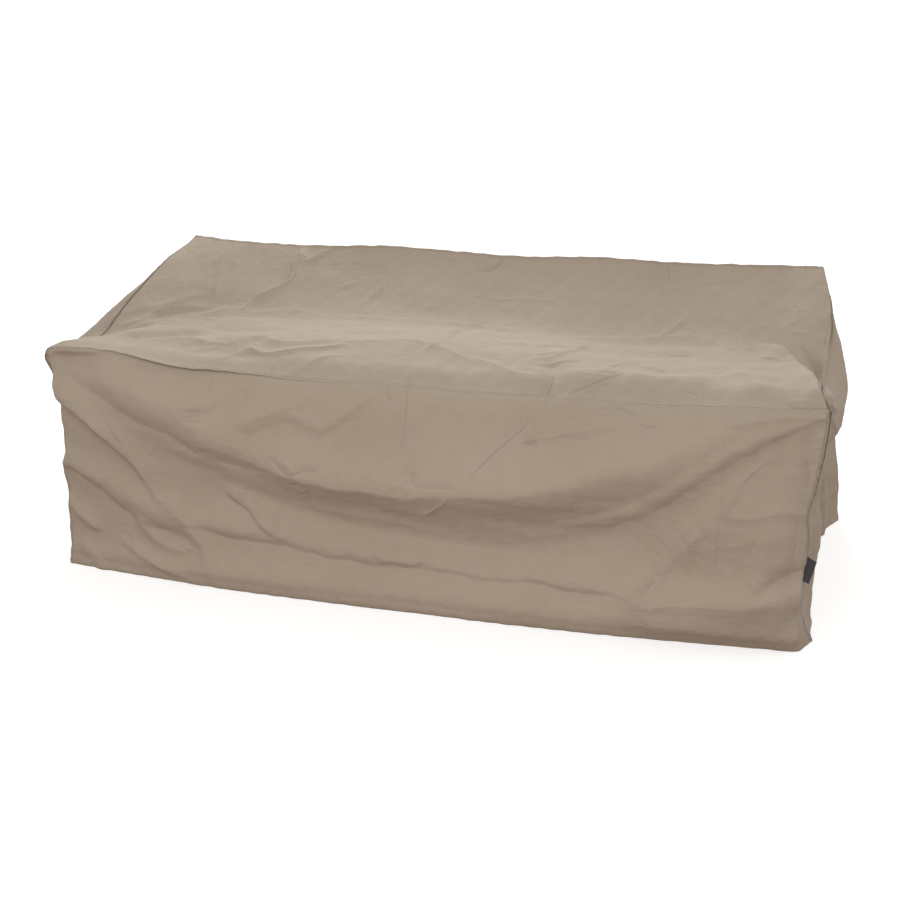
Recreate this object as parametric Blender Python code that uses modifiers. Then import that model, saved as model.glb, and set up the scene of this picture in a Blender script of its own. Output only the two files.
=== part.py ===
"""Fitted cover of coated canvas for a three-seat outdoor sofa, as it hangs when it is on.

Metres, +Z up. X runs along the sofa, -Y is the front, and the floor is z = 0. The origin is on
the floor in the middle of the cover's footprint. The cover is hollow and open below: five sewn
panels (front, top, back and two ends) meet along seams, and a bare woven label is caught in the
seam of the right front edge. Each panel is one open sheet that spans its four seam lines, with a
crown where the cushions and arms push it out and a table of the folds in which it hangs.
"""
from math import cos, pi, radians, sin

import bmesh
import bpy
import numpy as np
from mathutils import Vector

# Driving sizes
COVER_LONG = 2.10
COVER_DEEP = 0.94
FRONT_TALL = 0.65
BACK_TALL = 0.82
CLOTH_THICK = 0.002
LABEL_THICK = 0.0012
SEAM_GAP = 0.0018       # how far each sheet stops short of the line where two sheets meet
PIN_BAND = 0.035        # folds die away over this distance from a panel's edges
FOLD_TAPER = 0.6        # how bluntly a fold dies away at its two ends: smaller is blunter
FOLD_TIP = 0.04         # share of a fold's length at each end that keeps the height of the tip
ROUTE_POINTS = 40       # points along a fold's path
FORWARD_SHIFT = 0.016   # the seam lines stand this far ahead of the middle of the cover's box

# Cells along and up each panel
FRONT_CELLS = (66, 22)
TOP_CELLS = (66, 18)
BACK_CELLS = (66, 7)
END_CELLS = (18, 22)
LABEL_CELLS = (6, 8)

# Lines where the panels meet, and the hems: rows of x, y, z
FRONT_HEM = [
    (-1.052, -0.472, 0.000), (-0.875, -0.496, 0.000), (-0.674, -0.512, 0.002),
    (-0.414, -0.522, 0.000), (-0.076, -0.522, 0.000), (0.220, -0.522, 0.000),
    (0.522, -0.514, 0.000), (0.800, -0.494, 0.000), (0.960, -0.484, 0.000),
    (1.038, -0.474, 0.000), (1.065, -0.445, 0.001), (1.085, -0.410, 0.002),
]
FRONT_TOP = [
    (-1.052, -0.448, 0.656), (-1.000, -0.468, 0.667), (-0.930, -0.474, 0.671),
    (-0.830, -0.474, 0.667), (-0.770, -0.474, 0.657), (-0.670, -0.472, 0.638),
    (-0.490, -0.464, 0.630), (-0.290, -0.450, 0.622), (0.000, -0.444, 0.623),
    (0.180, -0.442, 0.617), (0.410, -0.442, 0.620), (0.570, -0.442, 0.616),
    (0.830, -0.446, 0.628), (0.960, -0.452, 0.636), (1.062, -0.455, 0.645),
]
BACK_TOP = [
    (-1.034, 0.470, 0.823), (-0.910, 0.471, 0.815), (-0.650, 0.472, 0.810),
    (-0.500, 0.470, 0.813), (-0.330, 0.470, 0.820), (-0.150, 0.472, 0.813),
    (0.050, 0.470, 0.809), (0.250, 0.468, 0.809), (0.440, 0.470, 0.815),
    (0.570, 0.470, 0.811), (0.750, 0.471, 0.811), (0.935, 0.470, 0.816),
    (1.062, 0.465, 0.818),
]
BACK_HEM = [
    (-1.196, 0.430, 0.000), (-1.000, 0.475, 0.004), (-0.780, 0.500, 0.000),
    (-0.550, 0.492, 0.003), (-0.300, 0.518, 0.000), (-0.050, 0.505, 0.002),
    (0.200, 0.522, 0.000), (0.450, 0.500, 0.002), (0.700, 0.512, 0.000),
    (0.950, 0.470, 0.004), (1.196, 0.432, 0.000),
]
LEFT_HEM = [
    (-1.052, -0.472, 0.000), (-1.075, -0.360, 0.002), (-1.065, -0.200, 0.000),
    (-1.085, -0.030, 0.002), (-1.070, 0.120, 0.000), (-1.110, 0.280, 0.003),
    (-1.196, 0.430, 0.000),
]
RIGHT_HEM = [
    (1.085, -0.410, 0.002), (1.072, -0.300, 0.000), (1.060, -0.120, 0.002),
    (1.070, 0.060, 0.000), (1.103, 0.220, 0.003), (1.150, 0.340, 0.001),
    (1.196, 0.432, 0.000),
]
FRONT_LEFT = [
    (-1.052, -0.472, 0.000), (-1.042, -0.470, 0.066), (-1.036, -0.470, 0.186),
    (-1.032, -0.470, 0.240), (-1.040, -0.470, 0.315), (-1.028, -0.470, 0.352),
    (-1.026, -0.470, 0.440), (-1.028, -0.468, 0.550), (-1.046, -0.466, 0.600),
    (-1.062, -0.460, 0.634), (-1.052, -0.448, 0.656),
]
FRONT_RIGHT = [
    (1.085, -0.410, 0.002), (1.066, -0.440, 0.045), (1.047, -0.462, 0.110),
    (1.043, -0.468, 0.200), (1.043, -0.470, 0.284), (1.036, -0.470, 0.370),
    (1.050, -0.468, 0.451), (1.060, -0.464, 0.551), (1.062, -0.455, 0.645),
]
LEFT_TOP = [
    (-1.052, -0.448, 0.656), (-1.052, -0.405, 0.658), (-1.056, -0.320, 0.640),
    (-1.064, -0.190, 0.612), (-1.068, -0.110, 0.627), (-1.068, -0.060, 0.650),
    (-1.064, 0.030, 0.689), (-1.055, 0.130, 0.730), (-1.045, 0.280, 0.780),
    (-1.034, 0.470, 0.823),
]
RIGHT_TOP = [
    (1.062, -0.455, 0.645), (1.043, -0.400, 0.668), (1.046, -0.300, 0.655),
    (1.052, -0.180, 0.628), (1.062, -0.050, 0.603), (1.072, 0.030, 0.612),
    (1.084, 0.110, 0.645), (1.090, 0.245, 0.716), (1.078, 0.360, 0.770),
    (1.062, 0.465, 0.818),
]
BACK_LEFT = [
    (-1.196, 0.430, 0.000), (-1.178, 0.440, 0.150), (-1.130, 0.455, 0.350),
    (-1.085, 0.465, 0.580), (-1.050, 0.470, 0.750), (-1.034, 0.470, 0.823),
]
BACK_RIGHT = [
    (1.196, 0.432, 0.000), (1.181, 0.435, 0.145), (1.163, 0.440, 0.237),
    (1.148, 0.445, 0.310), (1.118, 0.455, 0.420), (1.090, 0.465, 0.600),
    (1.070, 0.468, 0.740), (1.062, 0.465, 0.818),
]

# Height of the top sheet, in rows by x and columns by y
TOP_Y = (-0.47, -0.42, -0.36, -0.28, -0.20, -0.10, 0.00, 0.10, 0.20, 0.30, 0.40, 0.47)
TOP_ROWS = {
    -1.06: (0.655, 0.660, 0.650, 0.632, 0.613, 0.632, 0.676, 0.716, 0.751, 0.785, 0.808, 0.822),
    -0.90: (0.668, 0.664, 0.658, 0.650, 0.643, 0.638, 0.640, 0.664, 0.705, 0.747, 0.790, 0.815),
    -0.70: (0.641, 0.648, 0.653, 0.656, 0.655, 0.650, 0.648, 0.662, 0.694, 0.736, 0.782, 0.811),
    -0.40: (0.618, 0.636, 0.652, 0.662, 0.664, 0.662, 0.658, 0.662, 0.684, 0.724, 0.774, 0.817),
    -0.05: (0.610, 0.633, 0.652, 0.668, 0.676, 0.674, 0.665, 0.662, 0.678, 0.714, 0.764, 0.811),
    0.20: (0.604, 0.626, 0.646, 0.660, 0.667, 0.665, 0.657, 0.655, 0.672, 0.710, 0.762, 0.809),
    0.48: (0.606, 0.630, 0.652, 0.663, 0.663, 0.656, 0.649, 0.648, 0.668, 0.708, 0.762, 0.814),
    0.80: (0.614, 0.638, 0.656, 0.664, 0.664, 0.657, 0.648, 0.646, 0.668, 0.711, 0.766, 0.812),
    0.92: (0.622, 0.646, 0.660, 0.663, 0.660, 0.652, 0.640, 0.646, 0.676, 0.720, 0.772, 0.815),
    1.00: (0.630, 0.656, 0.664, 0.660, 0.650, 0.634, 0.622, 0.650, 0.694, 0.738, 0.786, 0.817),
    1.07: (0.638, 0.664, 0.668, 0.655, 0.636, 0.612, 0.604, 0.640, 0.690, 0.738, 0.785, 0.818),
}

# How far the front sheet stands forward of a flat one: by height in the middle, and as a share by x
FRONT_CROWN = [(0.00, 0.000), (0.12, -0.016), (0.24, -0.022), (0.36, 0.004),
               (0.46, 0.032), (0.53, 0.042), (0.58, 0.032), (0.61, 0.014), (0.65, 0.000)]
FRONT_SHARE = [(-1.05, 0.0), (-0.90, 0.5), (-0.65, 0.9), (-0.30, 1.0),
               (0.20, 1.0), (0.55, 0.9), (0.85, 0.6), (0.97, 0.3), (1.06, 0.0)]

# How far the arms push the end sheets out, in rows by share of height and columns by y
END_Y = (-0.46, -0.32, -0.15, 0.00, 0.15, 0.30, 0.46)
RIGHT_ROWS = {
    0.00: (0.0, 0.0, 0.0, 0.0, 0.0, 0.0, 0.0),
    0.25: (0.0, 0.030, 0.010, 0.0, -0.004, -0.004, 0.0),
    0.45: (0.0, 0.036, 0.024, 0.012, 0.006, 0.0, 0.0),
    0.62: (0.0, 0.032, 0.036, 0.034, 0.030, 0.018, 0.0),
    0.76: (0.0, 0.024, 0.046, 0.060, 0.056, 0.030, 0.0),
    0.88: (0.0, 0.020, 0.044, 0.060, 0.046, 0.016, 0.0),
    0.95: (0.0, 0.012, 0.024, 0.028, 0.016, 0.006, 0.0),
    1.00: (0.0, 0.0, 0.0, 0.0, 0.0, 0.0, 0.0),
}
LEFT_ROWS = {
    0.00: (0.0, 0.0, 0.0, 0.0, 0.0, 0.0, 0.0),
    0.25: (0.0, 0.024, 0.004, 0.016, -0.006, -0.002, 0.0),
    0.45: (0.0, 0.030, 0.020, 0.026, 0.010, 0.006, 0.0),
    0.62: (0.0, 0.032, 0.040, 0.044, 0.036, 0.022, 0.0),
    0.76: (0.0, 0.034, 0.052, 0.056, 0.050, 0.030, 0.0),
    0.88: (0.0, 0.036, 0.058, 0.060, 0.050, 0.028, 0.0),
    0.95: (0.0, 0.028, 0.052, 0.054, 0.040, 0.018, 0.0),
    1.00: (0.0, 0.0, 0.0, 0.0, 0.0, 0.0, 0.0),
}

# Folds: name, height (below 0 for a trough), width on the left and on the right of the path, and
# the path, in the panel's own two directions: x and z on the front and back, x and y on the top,
# y and z on the ends
FRONT_FOLDS = [
    ("main swag belly", 0.034, 0.090, 0.045,
     [(-1.00, 0.63), (-0.80, 0.54), (-0.55, 0.45), (-0.25, 0.385), (0.10, 0.375),
      (0.40, 0.43), (0.70, 0.53), (1.03, 0.64)]),
    ("main swag hollow", -0.020, 0.045, 0.080,
     [(-0.95, 0.52), (-0.62, 0.36), (-0.30, 0.28), (0.05, 0.25), (0.35, 0.28),
      (0.66, 0.40), (0.98, 0.58)]),
    ("second belly", 0.014, 0.035, 0.022,
     [(0.00, 0.27), (0.22, 0.255), (0.42, 0.30), (0.62, 0.38)]),
    ("left sharp fold", 0.028, 0.065, 0.020,
     [(-1.02, 0.56), (-0.96, 0.48), (-0.89, 0.42), (-0.82, 0.35), (-0.74, 0.26),
      (-0.62, 0.12)]),
    ("left low fold", 0.026, 0.055, 0.020,
     [(-1.03, 0.32), (-0.93, 0.27), (-0.79, 0.20), (-0.71, 0.16), (-0.60, 0.09)]),
    ("left foot fold", 0.010, 0.040, 0.015, [(-1.03, 0.23), (-0.96, 0.13), (-0.90, 0.06)]),
    ("short slant fold", 0.010, 0.035, 0.012, [(-0.60, 0.26), (-0.50, 0.20), (-0.37, 0.13)]),
    ("hem fold", 0.010, 0.060, 0.014,
     [(-0.66, 0.16), (-0.39, 0.13), (-0.22, 0.115), (0.04, 0.105), (0.27, 0.09), (0.62, 0.08)]),
    ("right long crease", 0.010, 0.012, 0.060,
     [(0.57, 0.04), (0.73, 0.26), (0.96, 0.53)]),
    ("right upper pull", 0.012, 0.025, 0.030, [(0.62, 0.50), (0.82, 0.57), (1.03, 0.63)]),
    ("seam overhang", -0.012, 0.020, 0.030, [(-0.95, 0.645), (-0.75, 0.635), (-0.45, 0.605)]),
]
TOP_FOLDS = [
    ("left corner ridge", 0.022, 0.030, 0.085,
     [(-1.05, -0.41), (-0.98, -0.25), (-0.90, -0.11), (-0.72, -0.02), (-0.50, 0.03)]),
    ("left slope foot", -0.010, 0.060, 0.040,
     [(-1.03, -0.20), (-0.96, -0.02), (-0.87, 0.12), (-0.70, 0.16)]),
    ("right corner ridge", 0.022, 0.075, 0.026,
     [(1.045, -0.38), (1.025, -0.22), (0.99, -0.06), (0.93, 0.03), (0.82, 0.06)]),
    ("right pit", -0.010, 0.040, 0.040, [(1.05, -0.12), (1.03, 0.00), (0.98, 0.07)]),
    ("gap between cushions", -0.014, 0.045, 0.045, [(0.34, -0.46), (0.33, -0.36), (0.30, -0.22)]),
    ("right cushion crest", 0.010, 0.050, 0.070, [(0.40, -0.36), (0.50, -0.31), (0.66, -0.27)]),
    ("left seat hollow", -0.008, 0.060, 0.060, [(-0.80, -0.30), (-0.60, -0.34), (-0.40, -0.38)]),
    ("slant crease on the slope", 0.007, 0.030, 0.022,
     [(-0.52, 0.45), (-0.61, 0.36), (-0.62, 0.28), (-0.72, 0.17), (-0.95, 0.07)]),
]
BACK_FOLDS = [
    ("left flute", 0.018, 0.060, 0.060, [(-0.80, 0.00), (-0.76, 0.30), (-0.66, 0.62)]),
    ("left swag", 0.014, 0.070, 0.040, [(-1.00, 0.70), (-0.60, 0.48), (-0.20, 0.42), (0.20, 0.50)]),
    ("middle flute", 0.016, 0.055, 0.055, [(-0.28, 0.00), (-0.25, 0.22), (-0.18, 0.40)]),
    ("right flute", 0.018, 0.060, 0.060, [(0.22, 0.00), (0.26, 0.30), (0.40, 0.60)]),
    ("right swag", 0.014, 0.070, 0.040, [(0.20, 0.44), (0.55, 0.40), (0.85, 0.54), (1.02, 0.72)]),
    ("far right flute", 0.016, 0.050, 0.050, [(0.72, 0.00), (0.74, 0.20), (0.82, 0.38)]),
]
RIGHT_FOLDS = [
    ("front edge fold", 0.016, 0.050, 0.030, [(-0.30, 0.02), (-0.31, 0.25), (-0.34, 0.55)]),
    ("arm pull", 0.010, 0.030, 0.040, [(-0.38, 0.60), (-0.20, 0.50), (0.02, 0.46), (0.25, 0.50)]),
    ("rear flap fold", 0.018, 0.050, 0.040, [(0.30, 0.02), (0.27, 0.25), (0.18, 0.46)]),
    ("rear hollow", -0.014, 0.050, 0.050, [(0.12, 0.02), (0.12, 0.20), (0.06, 0.38)]),
]
LEFT_FOLDS = [
    ("front edge fold", 0.016, 0.040, 0.050, [(-0.34, 0.02), (-0.33, 0.25), (-0.36, 0.52)]),
    ("arm pull", 0.010, 0.040, 0.030, [(-0.38, 0.58), (-0.18, 0.49), (0.05, 0.47), (0.25, 0.52)]),
    ("middle fold", 0.014, 0.045, 0.045, [(-0.02, 0.02), (-0.04, 0.20), (-0.10, 0.36)]),
    ("rear flap fold", 0.018, 0.040, 0.050, [(0.28, 0.02), (0.25, 0.25), (0.16, 0.46)]),
]

# The label, caught by one long edge in the right front seam
LABEL_TALL = 0.058
LABEL_WIDE = 0.027
LABEL_TOP = 0.268          # height of its upper corner at the seam
LABEL_TURN = radians(34)   # its direction out of the seam, from +X towards +Y
LABEL_DROOP = radians(30)  # how far the free edge hangs below the sewn one
LABEL_CLEAR = 0.003        # from the seam line to the sewn edge
LABEL_CURL = 0.003         # how far its middle bows forward

# Linear colours, and how matt each cloth is
CLOTH_COLOUR = (0.376, 0.305, 0.238, 1.0)
LABEL_COLOUR = (0.022, 0.018, 0.020, 1.0)
CLOTH_ROUGH = 0.8
LABEL_ROUGH = 0.7


def along(knots, values, at):
    """A smooth line through the values at the knots, read at the given places."""
    knots, values = np.asarray(knots, float), np.asarray(values, float)
    slopes = np.gradient(values, knots, axis=0)
    i = np.clip(np.searchsorted(knots, at, side="right") - 1, 0, len(knots) - 2)
    step = knots[i + 1] - knots[i]
    u = np.clip((at - knots[i]) / step, 0.0, 1.0)
    if values.ndim > 1:
        u, step = u[..., None], step[..., None]
    return (values[i] * (1 + 2 * u) * (1 - u) ** 2 + values[i + 1] * (3 - 2 * u) * u ** 2
            + slopes[i] * step * u * (1 - u) ** 2 - slopes[i + 1] * step * (1 - u) * u ** 2)


def line(points, share):
    """The points of a seam line at the given shares of its length."""
    points = np.asarray(points, float)
    length = np.concatenate([[0.0], np.cumsum(np.linalg.norm(np.diff(points, axis=0), axis=1))])
    return along(length / length[-1], points, share)


def table(rows, columns, row_at, column_at):
    """A value from a table, smooth both ways."""
    keys = sorted(rows)
    lines = np.array([along(columns, rows[key], column_at) for key in keys])
    spread = np.moveaxis(lines, 0, -1)
    slopes = np.gradient(spread, np.array(keys), axis=-1)
    keys = np.array(keys)
    i = np.clip(np.searchsorted(keys, row_at, side="right") - 1, 0, len(keys) - 2)
    step = keys[i + 1] - keys[i]
    u = np.clip((row_at - keys[i]) / step, 0.0, 1.0)

    def pick(values, index):
        return np.take_along_axis(values, index[..., None], -1)[..., 0]

    return (pick(spread, i) * (1 + 2 * u) * (1 - u) ** 2
            + pick(spread, i + 1) * (3 - 2 * u) * u ** 2
            + pick(slopes, i) * step * u * (1 - u) ** 2
            - pick(slopes, i + 1) * step * (1 - u) * u ** 2)


def filled(low, high, left, right, s, t):
    """The surface that four edge values span (a Coons patch)."""
    corner = ((1 - s) * (1 - t) * low[0, 0] + s * (1 - t) * low[-1, 0]
              + (1 - s) * t * high[0, 0] + s * t * high[-1, 0])
    return (1 - t) * low + t * high + (1 - s) * left + s * right - corner


def spanned(low, high, left, right, cells):
    """Shares s and t and the points of a sheet that spans four lines."""
    s, t = np.meshgrid(np.linspace(0, 1, cells[0] + 1), np.linspace(0, 1, cells[1] + 1),
                       indexing="ij")
    s3, t3 = s[..., None], t[..., None]
    return s, t, filled(line(low, s), line(high, s), line(left, t), line(right, t), s3, t3)


def eased(s, t, wide, tall):
    """1 inside a panel of this size, falling to 0 at its edges."""
    inside = np.minimum(np.minimum(s, 1 - s) * wide, np.minimum(t, 1 - t) * tall) / PIN_BAND
    inside = np.clip(inside, 0, 1)
    return inside * inside * (3 - 2 * inside)


def folds(rows, a, b):
    """How far a table of folds lifts the cloth at the places a, b of a panel."""
    total = np.zeros_like(a)
    for _, height, left_width, right_width, path in rows:
        route = line([(*point, 0.0) for point in path], np.linspace(0, 1, ROUTE_POINTS))[:, :2]
        best = np.full(a.shape, np.inf)
        side, share = np.zeros_like(a), np.zeros_like(a)
        for k, (start, end) in enumerate(zip(route[:-1], route[1:])):
            run = end - start
            u = np.clip(((a - start[0]) * run[0] + (b - start[1]) * run[1]) / (run @ run), 0, 1)
            da, db = a - start[0] - u * run[0], b - start[1] - u * run[1]
            near = np.hypot(da, db)
            closer = near < best
            best = np.where(closer, near, best)
            side = np.where(closer, run[0] * db - run[1] * da, side)
            share = np.where(closer, (k + u) / (len(route) - 1), share)
        width = np.where(side > 0, left_width, right_width)
        taper = np.sin(pi * np.clip(share, FOLD_TIP, 1 - FOLD_TIP)) ** FOLD_TAPER
        total += height * np.exp(-(best / width) ** 2) * taper
    return total


def set_in(points, hemmed=True):
    """The sheet's sewn edges, drawn in a little from the seam lines; its hem stays where it is."""
    points = points.copy()
    edges = [((0,), (1,)), ((-1,), (-2,)), ((slice(None), -1), (slice(None), -2))]
    if not hemmed:
        edges.append(((slice(None), 0), (slice(None), 1)))
    for edge, inner in edges:
        inward = points[inner] - points[edge]
        points[edge] += SEAM_GAP * inward / np.linalg.norm(inward, axis=-1, keepdims=True)
    return points


def front_points():
    s, t, points = spanned(FRONT_HEM, FRONT_TOP, FRONT_LEFT, FRONT_RIGHT, FRONT_CELLS)
    x, z = points[..., 0], points[..., 2]
    crown = along(*zip(*FRONT_CROWN), z) * along(*zip(*FRONT_SHARE), x)
    points[..., 1] -= (crown + folds(FRONT_FOLDS, x, z)) * eased(s, t, COVER_LONG, FRONT_TALL)
    return points


def top_points():
    s, t, points = spanned(FRONT_TOP, BACK_TOP, LEFT_TOP, RIGHT_TOP, TOP_CELLS)
    x, y = points[..., 0], points[..., 1]
    height = table(TOP_ROWS, TOP_Y, x, y)
    off = points[..., 2] - height
    edges = filled(off[:, :1], off[:, -1:], off[:1, :], off[-1:, :], s, t)
    points[..., 2] = height + edges + folds(TOP_FOLDS, x, y) * eased(s, t, COVER_LONG, COVER_DEEP)
    return points


def back_points():
    s, t, points = spanned(BACK_HEM, BACK_TOP, BACK_LEFT, BACK_RIGHT, BACK_CELLS)
    x, z = points[..., 0], points[..., 2]
    points[..., 1] += folds(BACK_FOLDS, x, z) * eased(s, t, COVER_LONG, BACK_TALL)
    return points


def end_points(side, hem, top, front, back, rows, fold_rows):
    s, t, points = spanned(hem, top, front, back, END_CELLS)
    y, z = points[..., 1], points[..., 2]
    out = table(rows, END_Y, t, y) + folds(fold_rows, y, z) * eased(s, t, COVER_DEEP, FRONT_TALL)
    points[..., 0] += side * out
    return points


def label_points():
    """The label's sheet: its sewn edge follows the seam, its free edge hangs out and down."""
    seam = np.array(FRONT_RIGHT)
    across, down = np.meshgrid(np.linspace(0, 1, LABEL_CELLS[0] + 1),
                               np.linspace(0, 1, LABEL_CELLS[1] + 1), indexing="ij")
    z = LABEL_TOP - LABEL_TALL * down
    x, y = (np.interp(z, seam[:, 2], seam[:, k]) for k in (0, 1))
    reach = LABEL_CLEAR + LABEL_WIDE * across
    curl = LABEL_CURL * np.sin(pi * across)
    return np.stack([x + reach * cos(LABEL_TURN) * cos(LABEL_DROOP) + curl * sin(LABEL_TURN),
                     y + reach * sin(LABEL_TURN) * cos(LABEL_DROOP) - curl * cos(LABEL_TURN),
                     z - reach * sin(LABEL_DROOP)], axis=-1)


def material(name, colour, roughness):
    made = bpy.data.materials.new(name)
    made.use_nodes = True
    shader = made.node_tree.nodes["Principled BSDF"]
    shader.inputs["Base Color"].default_value = colour
    shader.inputs["Roughness"].default_value = roughness
    shader.inputs["Metallic"].default_value = 0.0
    return made


def sheet(name, points, outward, thick, finish, home):
    """An open grid laid on the points, then given the cloth's thickness both ways."""
    cells = (points.shape[0] - 1, points.shape[1] - 1)
    mesh = bpy.data.meshes.new(name)
    grid = bmesh.new()
    bmesh.ops.create_grid(grid, x_segments=cells[0], y_segments=cells[1], size=0.5)
    for vertex in grid.verts:
        i = round((vertex.co.x + 0.5) * cells[0])
        j = round((vertex.co.y + 0.5) * cells[1])
        vertex.co = points[i, j]
        vertex.co.y += FORWARD_SHIFT
    grid.normal_update()
    facing = sum((face.normal for face in grid.faces), start=Vector())
    if facing.dot(Vector(outward)) < 0:
        bmesh.ops.reverse_faces(grid, faces=grid.faces)
    bmesh.ops.triangulate(grid, faces=grid.faces)
    grid.to_mesh(mesh)
    grid.free()
    mesh.shade_smooth()
    mesh.materials.append(finish)
    made = bpy.data.objects.new(name, mesh)
    home.objects.link(made)
    solid = made.modifiers.new("cloth thickness", "SOLIDIFY")
    solid.thickness = thick
    solid.offset = 0.0
    solid.use_even_offset = True
    return made


def main():
    for old in list(bpy.data.objects):
        bpy.data.objects.remove(old, do_unlink=True)
    home = bpy.data.collections.new("outdoor_sofa_cover")
    bpy.context.scene.collection.children.link(home)
    cloth = material("coated_canvas", CLOTH_COLOUR, CLOTH_ROUGH)
    woven = material("label_weave", LABEL_COLOUR, LABEL_ROUGH)

    sheet("front_panel", set_in(front_points()), (0, -1, 0), CLOTH_THICK, cloth, home)
    sheet("top_panel", set_in(top_points(), hemmed=False), (0, 0, 1), CLOTH_THICK, cloth, home)
    sheet("back_panel", set_in(back_points()), (0, 1, 0), CLOTH_THICK, cloth, home)
    left = end_points(-1, LEFT_HEM, LEFT_TOP, FRONT_LEFT, BACK_LEFT, LEFT_ROWS, LEFT_FOLDS)
    sheet("left_end_panel", set_in(left), (-1, 0, 0), CLOTH_THICK, cloth, home)
    right = end_points(1, RIGHT_HEM, RIGHT_TOP, FRONT_RIGHT, BACK_RIGHT, RIGHT_ROWS, RIGHT_FOLDS)
    sheet("right_end_panel", set_in(right), (1, 0, 0), CLOTH_THICK, cloth, home)
    sheet("woven_label", label_points(), (1, -1, 0), LABEL_THICK, woven, home)


main()
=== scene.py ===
# %% [markdown]
# # A fitted cover for an outdoor sofa
#
# A three-seat sofa stands under a cover of coated canvas. The cover is sewn from five panels: a
# front drop, one long piece for the seat and the sloping back, a back drop and two ends. It hangs
# with a big sagging fold across the front, pulls that run out of the corners, and a small bare
# woven label in the seam of the right front edge.
#
# The cell below loads the imported model. It is the frame that everything here is fitted to: each
# panel made here lies on its solid and replaces it.

# %% Load the frame
from math import cos, pi, radians, sin

import bpy
import numpy as np
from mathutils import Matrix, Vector


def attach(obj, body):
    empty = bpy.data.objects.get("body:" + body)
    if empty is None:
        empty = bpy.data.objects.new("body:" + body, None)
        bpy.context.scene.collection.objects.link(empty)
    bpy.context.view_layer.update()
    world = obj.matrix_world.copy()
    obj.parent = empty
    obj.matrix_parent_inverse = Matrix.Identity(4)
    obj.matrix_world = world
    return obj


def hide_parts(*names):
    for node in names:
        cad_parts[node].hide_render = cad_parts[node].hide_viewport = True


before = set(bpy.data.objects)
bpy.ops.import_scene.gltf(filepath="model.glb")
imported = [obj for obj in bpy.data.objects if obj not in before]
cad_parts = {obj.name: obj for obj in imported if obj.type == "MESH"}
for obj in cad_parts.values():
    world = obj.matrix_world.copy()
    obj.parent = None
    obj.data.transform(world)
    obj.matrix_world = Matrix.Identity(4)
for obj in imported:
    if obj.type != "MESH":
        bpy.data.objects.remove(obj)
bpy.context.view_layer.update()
print("solids:", sorted(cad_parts))

# %% [markdown]
# ## Camera
#
# The camera stands a little to the right of the middle, at eye level, and looks down on the cover.

# %% Camera
FORWARD_SHIFT = 0.016      # the seam lines stand this far ahead of the middle of the cover's box
CAMERA_PLACE = (0.830, -3.196, 1.503)
CAMERA_DOWN = radians(20.13)
CAMERA_TURN = radians(14.47)
SENSOR = 36.0
LENS = 45.96

camera = bpy.data.objects.new("camera", bpy.data.cameras.new("camera"))
bpy.context.scene.collection.objects.link(camera)
camera.data.sensor_width = SENSOR
camera.data.lens = LENS
camera.location = CAMERA_PLACE
camera.rotation_euler = (pi / 2 - CAMERA_DOWN, 0.0, CAMERA_TURN)
bpy.context.scene.camera = camera
print("camera at", CAMERA_PLACE)

# %% [markdown]
# ## A small language for materials
#
# Materials are node trees. Writing them as sums and products reads better than wiring Math nodes
# one by one, so a Wire wraps a socket and overloads the operators, and a Paint owns one material
# and adds any other node from its type, its settings and the values of its sockets.

# %% Wires and paints
def operator(operation, turned=False):
    """An operator that adds one Math node, with its two values turned round where asked."""
    def work(wire, *others):
        values = (*others, wire) if turned else (wire, *others)
        return wire.maths(operation, *values)
    return work


class Wire:
    """A node's output, on which Python's operators add Math nodes."""

    def __init__(self, paint, socket):
        self.paint = paint
        self.socket = socket

    def maths(self, operation, *values):
        return self.paint.node("ShaderNodeMath", {"operation": operation}, values)

    __add__ = __radd__ = operator("ADD")
    __sub__ = operator("SUBTRACT")
    __rsub__ = operator("SUBTRACT", turned=True)
    __mul__ = __rmul__ = operator("MULTIPLY")
    __truediv__ = operator("DIVIDE")
    __gt__ = operator("GREATER_THAN")
    __lt__ = operator("LESS_THAN")
    sine = operator("SINE")
    size = operator("ABSOLUTE")
    fraction = operator("FRACT")

    def clipped(self):
        return self.maths("MINIMUM", self.maths("MAXIMUM", self, 0.0), 1.0)

    def above(self, level, gain):
        """0 below a level, rising from there by this gain to 1."""
        return ((self - level) * gain).clipped()

    def bell(self, middle, width):
        """1 at the middle, falling to 0 at this distance from it."""
        return 1.0 - ((self - middle).size() / width).clipped()


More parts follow.
